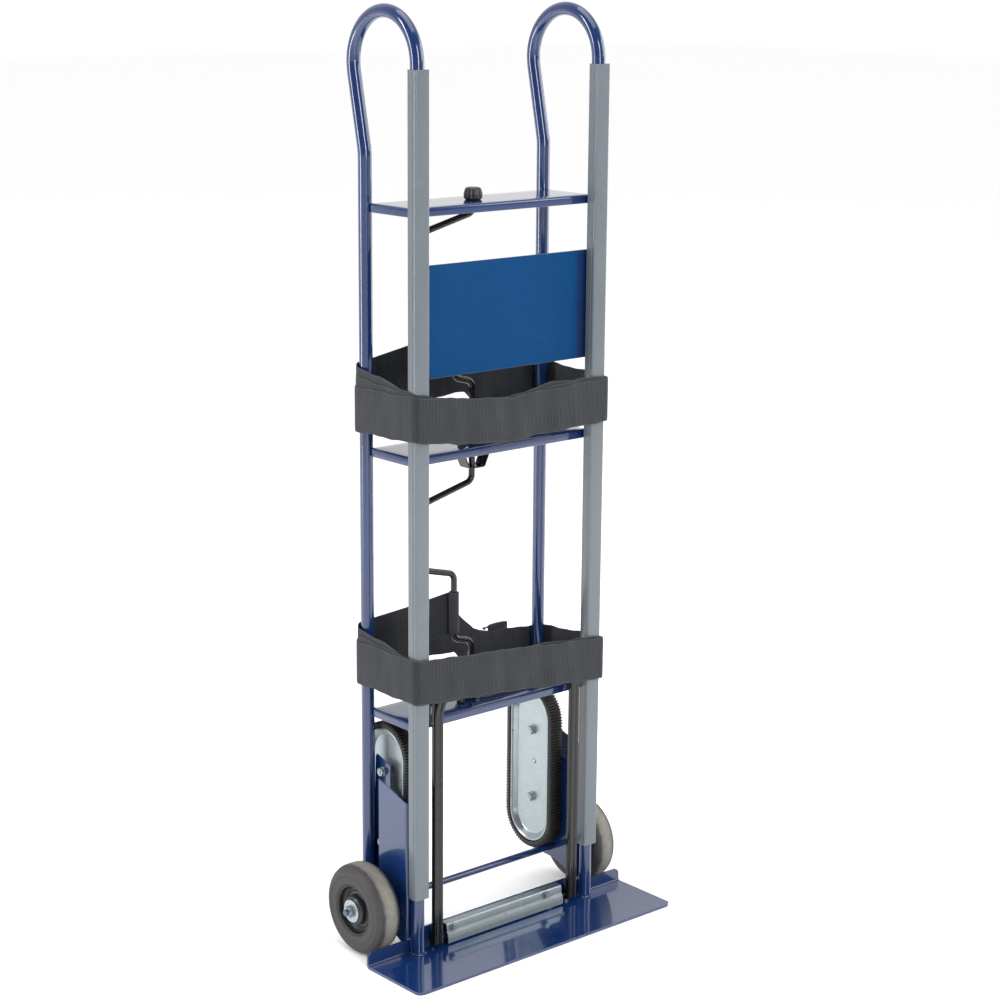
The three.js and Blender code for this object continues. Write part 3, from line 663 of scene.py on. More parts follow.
def build_zinc_group():
    """Zinc plate: cells of slightly different grey, each a centimetre or so, under fine streaks."""
    tree, inside, outside = node_group(
        "zinc_bloom",
        [("Vector", "NodeSocketVector", None), ("Colour", "NodeSocketColor", (0.6, 0.6, 0.6, 1)),
         ("Cells per Metre", "NodeSocketFloat", 110.0), ("Contrast", "NodeSocketFloat", 0.12)],
        [("Colour", "NodeSocketColor"), ("Roughness", "NodeSocketFloat")],
    )
    cells = add_node(tree, "ShaderNodeTexVoronoi", {
        "Vector": inside.outputs["Vector"], "Scale": inside.outputs["Cells per Metre"],
    })
    cloud = add_node(tree, "ShaderNodeTexNoise", {
        "Vector": inside.outputs["Vector"], "Scale": 28.0, "Detail": 6.0, "Roughness": 0.65,
    })
    grey = add_node(tree, "ShaderNodeSeparateColor", {"Color": cells.outputs["Color"]})
    both = add_node(tree, "ShaderNodeMath", {
        0: grey.outputs["Red"], 1: cloud.outputs["Fac"],
    }, operation="MULTIPLY")
    drift = add_node(tree, "ShaderNodeMath", {
        0: both.outputs[0], 1: inside.outputs["Contrast"], 2: 0.95,
    }, operation="MULTIPLY_ADD")
    shade = add_node(tree, "ShaderNodeVectorMath", {
        0: inside.outputs["Colour"], "Scale": drift.outputs[0],
    }, operation="SCALE")
    rough = add_node(tree, "ShaderNodeMapRange", {
        "Value": cloud.outputs["Fac"], "From Min": 0.3, "From Max": 0.7, "To Min": 0.24, "To Max": 0.40,
    })
    tree.links.new(shade.outputs["Vector"], outside.inputs["Colour"])
    tree.links.new(rough.outputs["Result"], outside.inputs["Roughness"])
    return tree


def build_zinc():
    """Bright zinc plate on steel, with a faint bloom and fine pits."""
    material = bpy.data.materials.new("zinc_plate")
    material.use_nodes = True
    tree = material.node_tree
    shader = tree.nodes["Principled BSDF"]
    place = add_node(tree, "ShaderNodeTexCoord").outputs["Object"]
    bloom = add_node(tree, "ShaderNodeGroup", node_tree=zinc_group)
    tree.links.new(place, bloom.inputs["Vector"])
    bloom.inputs["Colour"].default_value = (*zinc_tone, 1)
    grain = add_node(tree, "ShaderNodeGroup", node_tree=grain_group)
    tree.links.new(place, grain.inputs["Vector"])
    grain.inputs["Grains per Metre"].default_value = 1200.0
    bump = add_node(tree, "ShaderNodeBump", {"Height": grain.outputs["Height"], "Distance": 8e-6})
    tree.links.new(bloom.outputs["Colour"], shader.inputs["Base Color"])
    tree.links.new(bloom.outputs["Roughness"], shader.inputs["Roughness"])
    tree.links.new(bump.outputs["Normal"], shader.inputs["Normal"])
    shader.inputs["Metallic"].default_value = 0.85
    return material


zinc_group = build_zinc_group()
zinc_plate = build_zinc()


def turned(profile, axis, centre, count=64, closed=False):
    """A body of revolution. Each profile point is (radius, place along the axis). A closed
    profile makes a ring, and any other ends in a small flat face at each end."""
    profile = np.asarray(profile, float)
    angle = np.linspace(0, 2 * math.pi, count, endpoint=False)
    flat = [index for index in range(3) if index != axis]
    points = np.empty((len(profile), count, 3))
    points[..., flat[0]] = centre[flat[0]] + profile[:, :1] * np.cos(angle)
    points[..., flat[1]] = centre[flat[1]] + profile[:, :1] * np.sin(angle)
    points[..., axis] = profile[:, 1:]
    return grid(points, wrap=True, wrap_rows=closed, caps=not closed)


def thread(radius, pitch, start, end, depth=0.0006):
    """Profile of a threaded end: a saw-tooth line with a crest every pitch."""
    crests = np.arange(start, end, pitch)
    along = np.column_stack([crests, crests + pitch / 2]).ravel()
    radii = np.tile([radius, radius - depth], len(crests))
    return np.column_stack([radii, along])


def mirrored(profile, side):
    """The same profile with its places along the axis mirrored for the left side."""
    profile = np.array(profile, float)
    profile[:, 1] *= side
    return profile


def nut(axis, centre, across_flats, start, end, bore):
    """A hexagon nut with a chamfer at each end, as rings that shrink from hexagon to circle."""
    count = 48
    angle = np.linspace(0, 2 * math.pi, count, endpoint=False)
    flat_radius = across_flats / 2
    folded = np.mod(angle, math.pi / 3) - math.pi / 6
    hexagonal = flat_radius / np.cos(folded)
    chamfer = 0.0009 if end > start else -0.0009
    rows = [(np.full(count, bore), start), (np.full(count, flat_radius), start),
            (hexagonal, start + chamfer), (hexagonal, end - chamfer), (np.full(count, flat_radius), end),
            (np.full(count, bore), end)]
    flat = [index for index in range(3) if index != axis]
    points = np.empty((len(rows), count, 3))
    for row, (radii, place) in enumerate(rows):
        points[row, :, flat[0]] = centre[flat[0]] + radii * np.cos(angle)
        points[row, :, flat[1]] = centre[flat[1]] + radii * np.sin(angle)
        points[row, :, axis] = place
    return grid(points, wrap=True, wrap_rows=True, caps=False)


axle_low, axle_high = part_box("axle")
axle_centre = (np.array(axle_low) + axle_high) / 2
axle_radius = (axle_high[2] - axle_low[2]) / 2
axle_clearance = 0.0003
hub_bore = axle_radius + axle_clearance
thread_length = 0.018
thread_pitch = 0.0015
plain_half = axle_high[0] - thread_length
right_end = np.vstack([
    [(axle_radius, plain_half)],
    thread(axle_radius, thread_pitch, plain_half + 0.0005, axle_high[0] - 0.002),
    [(axle_radius - 0.0012, axle_high[0]), (0.0008, axle_high[0])],
])
axle_profile = np.vstack([mirrored(right_end, -1)[::-1], right_end])
axle = make_object("axle_rod", *turned(axle_profile, 0, axle_centre, 40), blue_paint)
finished(axle, "root", "blue_paint", "axle")

for word, side in sides:
    washer_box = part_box(f"{word}_axle_washer")
    inside, outside = sorted((abs(washer_box[0][0]), abs(washer_box[1][0])))
    washer_radius = (washer_box[1][2] - washer_box[0][2]) / 2
    outline = rounded([
        (hub_bore, inside), (washer_radius, inside), (washer_radius, outside), (hub_bore, outside),
    ], [0.0002, 0.0007, 0.0007, 0.0002], steps=3, closed=True)
    washer = make_object(f"{word}_wheel_washer",
                         *turned(mirrored(outline, side), 0, axle_centre, 64, closed=True), zinc_plate)
    finished(washer, "root", "zinc", f"{word}_axle_washer")
    nut_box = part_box(f"{word}_axle_nut")
    inside, outside = sorted((abs(nut_box[0][0]), abs(nut_box[1][0])))
    shape = nut(0, axle_centre, nut_box[1][1] - nut_box[0][1], side * inside, side * outside, axle_radius)
    finished(make_object(f"{word}_wheel_nut", *shape, zinc_plate), "root", "zinc", f"{word}_axle_nut")


# ---- Wheels ----
# Six-inch wheels: a solid grey rubber tyre moulded on a black pressed hub. The hub's face is deeply
# dished, with a boss in the middle that turns on the axle.
tyre_rubber = finish(
    "tyre_rubber", (0.034, 0.031, 0.033), (0.50, 0.66), drift=0.14, dust=0.22, cloud=26.0, grains=900.0,
    grain_height=3e-5, dust_colour=(0.10, 0.097, 0.094), Specular_IOR_Level=0.4,
)
hub_black = finish(
    "hub_black", (0.014, 0.014, 0.016), (0.30, 0.44), drift=0.15, dust=0.06, cloud=30.0, grains=1100.0,
    grain_height=2e-5, Specular_IOR_Level=0.5,
)
# A paler grey laid on the outer band of the tread, the same all round the wheel, beyond this distance from
# the axle.
pale_tread_grey = (0.200, 0.195, 0.170, 1)
pale_tread_radius = 0.0757
tyre_bore = 0.0423


def add_pale_tread(material, radius):
    """Mixes a paler grey into the base colour on the tread, the band that meets the floor. The mask rises
    over 2 mm about the given distance from the axle, and is broken up by a soft noise."""
    tree = material.node_tree
    shader = tree.nodes["Principled BSDF"]
    plain = shader.inputs["Base Color"].links[0].from_socket
    place = add_node(tree, "ShaderNodeTexCoord").outputs["Object"]
    apart = add_node(tree, "ShaderNodeVectorMath", {
        0: place, 1: (0, *axle_centre[1:]),
    }, operation="SUBTRACT")
    flat = add_node(tree, "ShaderNodeVectorMath", {0: apart.outputs["Vector"], 1: (0, 1, 1)},
                    operation="MULTIPLY")
    away = add_node(tree, "ShaderNodeVectorMath", {0: flat.outputs["Vector"]}, operation="LENGTH")
    noise = add_node(tree, "ShaderNodeTexNoise", {"Vector": place, "Scale": 90.0, "Detail": 4.0})
    ragged = add_node(tree, "ShaderNodeMath", {0: noise.outputs["Fac"], 1: 0.0016, 2: away.outputs["Value"]},
                      operation="MULTIPLY_ADD")
    pale_band = add_node(tree, "ShaderNodeMapRange", {
        "Value": ragged.outputs[0], "From Min": radius - 0.001, "From Max": radius + 0.001, "To Max": 0.85,
    })
    mixed = add_node(tree, "ShaderNodeMixRGB", {
        "Fac": pale_band.outputs["Result"], "Color1": plain, "Color2": pale_tread_grey,
    })
    tree.links.new(mixed.outputs["Color"], shader.inputs["Base Color"])


add_pale_tread(tyre_rubber, pale_tread_radius)

for word, side in sides:
    tyre_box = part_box(f"{word}_tyre")
    inside, outside = sorted((abs(tyre_box[0][0]), abs(tyre_box[1][0])))
    radius = (tyre_box[1][2] - tyre_box[0][2]) / 2
    half_wall = [(tyre_bore, 0.0030), (0.0440, 0.0012), (0.0465, 0.0005), (0.0560, 0.0), (0.0566, 0.0006),
                 (0.0574, 0.0006), (0.0580, 0.0), (0.0640, 0.0004), (0.0725, 0.0060), (0.0754, 0.0140)]
    wall = [(r, inside + depth) for r, depth in half_wall]
    far_wall = [(r, outside - depth) for r, depth in half_wall[::-1]]
    crown = [(radius, (inside + outside) / 2)]
    radii = [0.0004, 0.001, 0.002, 0.0003, 0.0003, 0.0003, 0.0003, 0.008, 0.010, 0.012]
    outline = rounded(wall + crown + far_wall, radii + [0.03] + radii[::-1], steps=6, closed=True)
    shape = turned(mirrored(outline, side), 0, axle_centre, 112, closed=True)
    tyre = make_object(f"{word}_wheel_tyre", *shape, tyre_rubber, sharp=50.0)
    finished(tyre, f"{word}_wheel", "tyre_rubber", f"{word}_tyre")

    middle = (inside + outside) / 2
    face = [(hub_bore, outside), (0.0200, outside), (0.0240, outside - 0.0030), (0.0245, outside - 0.0110),
            (0.0260, outside - 0.0128), (0.0300, outside - 0.0130), (0.0310, outside - 0.0145),
            (0.0350, outside - 0.0150), (0.0385, outside - 0.0110), (0.0398, outside - 0.0030),
            (0.0420, outside - 0.0030)]
    back = [(0.0420, inside + 0.0030), (0.0398, inside + 0.0030), (0.0375, middle - 0.0060),
            (0.0180, middle - 0.0050), (0.0150, inside), (hub_bore, inside)]
    radii = [0.0004, 0.001, 0.0015, 0.001, 0.001, 0.0006, 0.0006, 0.002, 0.003, 0.001, 0.0006,
             0.0006, 0.001, 0.003, 0.003, 0.001, 0.0004]
    outline = rounded(face + back, radii, steps=5, closed=True)
    shape = turned(mirrored(outline, side), 0, axle_centre, 80, closed=True)
    hub = make_object(f"{word}_wheel_disc", *shape, hub_black, sharp=40.0)
    finished(hub, f"{word}_wheel", "black_plastic", f"{word}_wheel_hub")


# ---- Stair climbers ----
# Behind each front leg a toothed rubber belt runs round two zinc plates, pressed as shallow pans
# and bolted back to back through the bracket's inner wall. It lets the trolley slide up stair edges.
belt_rubber = finish(
    "belt_rubber", (0.017, 0.016, 0.016), (0.5, 0.65), drift=0.15, dust=0.22, cloud=40.0, grains=1400.0,
    grain_height=2e-5, dust_colour=(0.07, 0.068, 0.066), Specular_IOR_Level=0.4,
)
pan_sheet = 0.0018
pan_depth = 0.0082
stud_radius = 0.004
stud_pitch = 0.00125
stud_flats = 0.0130
tooth_pitch = 0.0052
tooth_height = 0.0040
belt_growth = 0.0020


def stadium(radius, straight_side, spacing):
    """Points and outward directions round two half circles joined by straight sides, drawn in
    (y, z) about their middle, at an even spacing."""
    arc = math.pi * radius
    count = int(round(2 * (straight_side + arc) / spacing))
    along = np.linspace(0, 2 * (straight_side + arc), count, endpoint=False)
    half = straight_side + arc
    second = along >= half
    place = along - half * second
    on_arc = place > straight_side
    turn = np.where(on_arc, (place - straight_side) / radius, 0.0)
    height = np.where(on_arc, straight_side / 2, place - straight_side / 2)
    outward = np.column_stack([np.cos(turn), np.sin(turn)])
    base = np.column_stack([np.zeros(count), height])
    flip = np.where(second, -1.0, 1.0)[:, None]
    return base * flip, outward * flip, along


def pan_mesh(box, open_x, floor_x):
    """A pressed pan: rings of the same stadium, each at its own inset and depth, from the middle
    of the face out over the sloped wall and the rolled rim and back along the inside."""
    low, high = box
    middle = (np.array(low[1:]) + high[1:]) / 2
    radius = (high[1] - low[1]) / 2
    length = (high[2] - low[2]) - 2 * radius
    inward = math.copysign(1.0, floor_x - open_x)
    floor_edge = floor_x + 0.001 * inward
    floor_back = floor_x + pan_sheet * inward
    profile = rounded([
        (0.020, floor_x), (0.0125, floor_x), (0.0065, open_x + 0.0018 * inward), (0.0040, open_x),
        (0.0012, open_x), (0.0, open_x + 0.0035 * inward), (0.0, floor_edge),
        (pan_sheet, floor_edge), (0.0132, floor_back), (0.020, floor_back),
    ], [0, 0.003, 0.002, 0.0012, 0.0012, 0.001, 0.0003, 0.0008, 0.002, 0], steps=4)
    base, outward, _ = stadium(radius, length, 0.004)
    rows = []
    for inset, x in profile:
        ring = middle + base + outward * (radius - inset)
        rows.append(np.column_stack([np.full(len(ring), x), ring]))
    return grid(np.array(rows), wrap=True)


def belt_mesh(box, inner_radius):
    """A closed belt. Round its outline the outer radius steps in and out as smooth square teeth,
    each flank a steep sine, and the teeth stop just short of the belt's edges."""
    low, high = box
    middle = (np.array(low[1:]) + high[1:]) / 2
    length = (high[2] - low[2]) - (high[1] - low[1])
    radius = (high[1] - low[1]) / 2 + belt_growth
    perimeter = 2 * (length + math.pi * radius)
    teeth = round(perimeter / tooth_pitch)
    base, outward, along = stadium(radius, length, perimeter / (teeth * 10))
    wave = np.clip(1.9 * np.sin(2 * math.pi * along * teeth / perimeter), -1, 1)
    outer = radius - tooth_height * (0.5 - 0.5 * wave)
    edge = 0.0008
    root = radius - tooth_height - 0.0006
    loop = [(low[0], inner_radius), (low[0], root), (low[0] + edge, None),
            (high[0] - edge, None), (high[0], root), (high[0], inner_radius)]
    columns = []
    for x, fixed in loop:
        reach = outer if fixed is None else np.full(len(along), fixed)
        ring = middle + base + outward * reach[:, None]
        columns.append(np.column_stack([np.full(len(ring), x), ring]))
    return grid(np.stack(columns, axis=1), wrap=True, wrap_rows=True, caps=False)


def climber_bolt(box, side, centre, face):
    """A threaded stud through both plates, with a washer and a nut at each end. The inner nut ends
    at the given face, which is the inner plate's floor."""
    inside, outside = sorted((abs(box[0][0]), abs(box[1][0])))
    profile = np.vstack([
        [(0.0006, inside), (stud_radius - 0.0007, inside)],
        thread(stud_radius, stud_pitch, inside + 0.0006, face - 0.0090, 0.0005),
        [(stud_radius, face - 0.0085), (stud_radius, outside - 0.001), (stud_radius - 0.0008, outside),
         (0.0006, outside)],
    ])
    rod_shape = turned(mirrored(profile, side), 0, centre, 28)
    washer = rounded([(stud_radius, face - 0.0018), (0.0090, face - 0.0018), (0.0090, face - 0.0002),
                      (stud_radius, face - 0.0002)], 0.0004, steps=3, closed=True)
    washer_shape = turned(mirrored(washer, side), 0, centre, 40, closed=True)
    nut_shape = nut(0, centre, stud_flats, side * (face - 0.0083), side * (face - 0.0018), stud_radius)
    tail = rounded([(stud_radius, outside - 0.0085), (0.0080, outside - 0.0085),
                    (0.0080, outside - 0.0070), (stud_radius, outside - 0.0070)],
                   0.0004, steps=3, closed=True)
    tail_shape = turned(mirrored(tail, side), 0, centre, 40, closed=True)
    tail_nut = nut(0, centre, stud_flats, side * (outside - 0.0070), side * (outside - 0.0015), stud_radius)
    return combined(rod_shape, washer_shape, nut_shape, tail_shape, tail_nut)


for word, side in sides:
    inner_box, outer_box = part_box(f"{word}_climber_inner_plate"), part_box(f"{word}_climber_outer_plate")
    inner_span = sorted((abs(inner_box[0][0]), abs(inner_box[1][0])))
    outer_span = sorted((abs(outer_box[0][0]), abs(outer_box[1][0])))
    inner_floor = inner_span[0] + pan_depth
    outer_floor = outer_span[1] - pan_depth
    shape = pan_mesh(inner_box, side * inner_span[0], side * inner_floor)
    inner_pan = make_object(f"{word}_inner_pan", *shape, zinc_plate, sharp=50.0)
    finished(inner_pan, "root", "zinc", f"{word}_climber_inner_plate")
    shape = pan_mesh(outer_box, side * outer_span[1], side * outer_floor)
    outer_pan = make_object(f"{word}_outer_pan", *shape, zinc_plate, sharp=50.0)
    finished(outer_pan, "root", "zinc", f"{word}_climber_outer_plate")
    pan_radius = (inner_box[1][1] - inner_box[0][1]) / 2
    shape = belt_mesh(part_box(f"{word}_climber_belt"), pan_radius + 0.0003)
    belt = make_object(f"{word}_toothed_belt", *shape, belt_rubber, sharp=50.0)
    finished(belt, "root", "belt_rubber", f"{word}_climber_belt")
    for place in ("upper", "lower"):
        bolt_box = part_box(f"{word}_climber_{place}_bolt")
        centre = (np.array(bolt_box[0]) + bolt_box[1]) / 2
        shape = climber_bolt(bolt_box, side, centre, inner_floor)
        bolt = make_object(f"{word}_{place}_climber_stud", *shape, zinc_plate)
        finished(bolt, "root", "zinc", f"{word}_climber_{place}_bolt")
        sleeve_bore = stud_radius + 0.0003
        spacer = [(sleeve_bore, inner_floor + 0.002), (0.0078, inner_floor + 0.002),
                  (0.0078, outer_floor - 0.002), (sleeve_bore, outer_floor - 0.002)]
        outline = rounded(spacer, 0.0003, steps=3, closed=True)
        shape = turned(mirrored(outline, side), 0, centre, 32, closed=True)
        sleeve = make_object(f"{word}_{place}_climber_sleeve", *shape, zinc_plate)
        finished(sleeve, "root", "zinc", f"{word}_climber_{place}_spacer")
    rivet_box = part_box(f"{word}_climber_rivet")
    centre = (np.array(rivet_box[0]) + rivet_box[1]) / 2
    dome = np.linspace(0, math.pi / 2, 7)
    head = np.column_stack([0.0045 * np.sin(dome), inner_floor - 0.0002 - 0.0022 * np.cos(dome)])
    head[0, 0] = 0.0003
    shank_end = [(0.0025, inner_floor - 0.0002), (0.0025, outer_floor + 0.002),
                 (0.0003, outer_floor + 0.002)]
    shape = turned(mirrored(np.vstack([head, shank_end]), side), 0, centre, 28)
    finished(make_object(f"{word}_climber_pin", *shape, zinc_plate), "root", "zinc", f"{word}_climber_rivet")


# ---- Ratchet bracket ----
# A folded steel strip under the middle shelf, painted black. It carries the end of the lower crank
# and the foot of the upper one.
crank_x, crank_y = -0.023, 0.062
hanger_sheet = 0.0025
shelf_top = {"lower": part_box("lower_shelf")[1][2], "upper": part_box("middle_shelf")[1][2]}
black_gloss = finish(
    "black_gloss", (0.006, 0.006, 0.0062), (0.10, 0.18), drift=0.12, dust=0.05, grains=480.0,
    grain_height=1.8e-5, Coat_Weight=0.25, Coat_Roughness=0.05, Specular_IOR_Level=0.3,
)

bracket_low, bracket_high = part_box("ratchet_bracket")
hat_top = bracket_high[2] - hanger_sheet / 2
hat_low = bracket_low[2] + hanger_sheet / 2
hat_line = rounded([
    (bracket_low[0], hat_top), (crank_x - 0.032, hat_top), (crank_x - 0.0138, hat_low),
    (crank_x + 0.0178, hat_low), (crank_x + 0.0358, hat_top), (bracket_high[0], hat_top),
], 0.004, steps=5)
hat_shape = bent_sheet(hat_line, bracket_low[1], bracket_high[1], hanger_sheet, (0, 2))
hat = make_object("ratchet_hanger", *hat_shape, black_gloss)
finished(hat, "root", "black_paint", "ratchet_bracket", bevel=0.0006, angle=50.0)


# ---- Cranks ----
# Each strap winder is a bent steel rod that stands on its shelf. The strap winds round its lower
# part, and a loose plastic tube higher up is the grip. A toothed wheel and a pawl hold it.
rod_radius = 0.00525
strap_offset = -0.037
grip_offset = -0.105
ratchet_teeth = 14
ratchet_tip = 0.020
ratchet_root = 0.016
black_plastic = finish(
    "black_plastic", (0.017, 0.017, 0.018), (0.28, 0.42), drift=0.12, dust=0.08, grains=1300.0,
    grain_height=3e-5, Specular_IOR_Level=0.5,
)
dark_steel = finish(
    "dark_steel", (0.060, 0.062, 0.066), (0.22, 0.36), drift=0.2, dust=0.04, grains=900.0,
    grain_height=2e-5, Metallic=0.8,
)


def crank_path(base, journal_top):
    """The rod's middle line, bent in one plane: journal, strap part, arm, grip part, top journal."""
    corners = [(0, -0.021), (0, 0.097), (strap_offset, 0.107), (strap_offset, 0.2175), (grip_offset, 0.235),
               (grip_offset, 0.343), (0, 0.369)]
    line = [(crank_x + offset, crank_y, base + rise) for offset, rise in corners]
    line.append((crank_x, crank_y, journal_top))
    return rounded(line, 0.013, steps=10)


def grip_profile(low, high, bore, outside):
    """Profile of the grip: a tube with rounded ends and a row of shallow round grooves."""
    grooves = np.linspace(low + 0.008, high - 0.008, 9)
    wall = [(bore, low), (outside - 0.0012, low), (outside, low + 0.003)]
    for place in grooves:
        wall += [(outside, place - 0.0013), (outside - 0.0007, place), (outside, place + 0.0013)]
    wall += [(outside, high - 0.003), (outside - 0.0012, high), (bore, high)]
    return wall


def ratchet_outline(count, tip, root):
    """Saw teeth: each flank runs from the root circle out to the tip, then drops straight back."""
    angle = np.arange(count) * 2 * math.pi / count
    tips = tip * np.column_stack([np.cos(angle), np.sin(angle)])
    roots = root * np.column_stack([np.cos(angle + 0.06), np.sin(angle + 0.06)])
    return np.stack([tips, roots], axis=1).reshape(-1, 2)


for word in ("lower", "upper"):
    base = shelf_top[word]
    body = f"{word}_crank"
    journal_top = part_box(f"{word}_crank_rod")[1][2]
    shape = pipe(crank_path(base, journal_top), rod_radius, (0, 1, 0), sides=28)
    rod = make_object(f"{word}_crank_bar", *shape, black_gloss)
    finished(rod, body, "black_paint", f"{word}_crank_rod", bevel=0.0012)

    low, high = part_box(f"{word}_crank_grip")
    centre = (crank_x + grip_offset, crank_y, 0)
    profile = grip_profile(low[2], high[2], rod_radius + 0.0003, (high[1] - low[1]) / 2)
    shape = turned(profile, 2, centre, 48, closed=True)
    finished(make_object(f"{word}_handle_sleeve", *shape, black_plastic), body, "black_plastic",
             f"{word}_crank_grip")

    teeth = ratchet_outline(ratchet_teeth, ratchet_tip, ratchet_root) + (crank_x, crank_y)
    plate = prism(teeth, 2, base + 0.0003, base + 0.006)
    collar = turned([(rod_radius, base + 0.0059), (0.0095, base + 0.0059), (0.0095, base + 0.0105),
                     (0.0082, base + 0.0118), (rod_radius, base + 0.0118)], 2, (crank_x, crank_y, 0), 36,
                    closed=True)
    wheel = make_object(f"{word}_ratchet_teeth", *combined(plate, collar), dark_steel)
    finished(wheel, body, "zinc", f"{word}_ratchet_wheel", bevel=0.0004)


# ---- Pawls ----
# A short steel finger turns on a pin through each shelf and drops between the wheel's teeth.
pawl_x, pawl_y = -0.058, 0.046
pawl_length = math.hypot(crank_x - pawl_x, crank_y - pawl_y) - 0.0208
pawl_turn = math.atan2(crank_y - pawl_y, crank_x - pawl_x)

for word in ("lower", "upper"):
    base = shelf_top[word]
    heading = np.array([math.cos(pawl_turn), math.sin(pawl_turn)])
    across = np.array([-heading[1], heading[0]])
    corners = [(0, -0.0055), (pawl_length - 0.001, -0.0016), (pawl_length, 0), (pawl_length - 0.001, 0.0016),
               (0, 0.0055)]
    outline = np.array([(pawl_x, pawl_y) + along * heading + aside * across for along, aside in corners])
    finger = prism(outline, 2, base + 0.001, base + 0.0068)
    centre = (pawl_x, pawl_y, 0)
    boss = turned(rounded([(0.0004, base - 0.010), (0.003, base - 0.010), (0.003, base + 0.001),
                           (0.007, base + 0.001), (0.007, base + 0.0072), (0.003, base + 0.0072),
                           (0.003, base + 0.010), (0.0045, base + 0.010), (0.0045, base + 0.014),
                           (0.0004, base + 0.014)], [0, 0.0005, 0.0002, 0.0006, 0.0006, 0.0002, 0.0002,
                                                     0.0005, 0.0012, 0], steps=3), 2, centre, 36)
    pawl = make_object(f"{word}_pawl_finger", *combined(finger, boss), dark_steel)
    finished(pawl, f"{word}_pawl_arm", "zinc", f"{word}_pawl", bevel=0.0004)


# ---- Crank knob ----
# A moulded black knob is pressed on the upper crank's end, above the top shelf. Its sides are fluted
# for the fingers.
def knob_mesh(low, high, flutes=8, count=96):
    """The radius is the profile's, less a scallop: depth * |cos(flutes * angle / 2)| to a power,
    strongest half way up and nothing at the top and bottom."""
    height = high[2] - low[2]
    widest = (high[0] - low[0]) / 2
    profile = rounded([
        (0.0004, high[2]), (0.60 * widest, high[2]), (0.84 * widest, high[2] - 0.10 * height),
        (widest, high[2] - 0.55 * height), (0.96 * widest, low[2] + 0.12 * height), (0.78 * widest, low[2]),
        (rod_radius, low[2]), (0.0004, low[2]),
    ], [0, 0.003, 0.003, 0.006, 0.003, 0.001, 0, 0], steps=5)
    centre = (np.array(low) + high) / 2
    places, faces = turned(profile, 2, centre, count)
    spread = places[:, :2] - centre[:2]
    angle = np.arctan2(spread[:, 1], spread[:, 0])
    share = (places[:, 2] - low[2]) / height
    strength = np.clip(1.6 * np.sin(math.pi * np.clip(share, 0, 1)), 0, 1)
    strength *= np.linalg.norm(spread, axis=1) > 0.7 * widest
    scallop = np.abs(np.cos(flutes * angle / 2)) ** 5
    places[:, :2] = centre[:2] + spread * (1 - 0.10 * strength * scallop)[:, None]
    return places, faces


knob = make_object("knob_cap", *knob_mesh(*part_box("crank_top_knob")), black_plastic, sharp=55.0)
finished(knob, "upper_crank", "black_plastic", "crank_top_knob")


# ---- Straps ----
# Each strap is a charcoal polyester webbing 72 mm wide. It leaves its winder, passes behind the
# left rear leg and goes three times round the frame. Its sewn end hooks on at the back.
web_width = 0.072
web_thickness = 0.0015
layer_pitch = 0.0019
loop_x = 0.2018
loop_front = -0.0148
loop_back = 0.1422


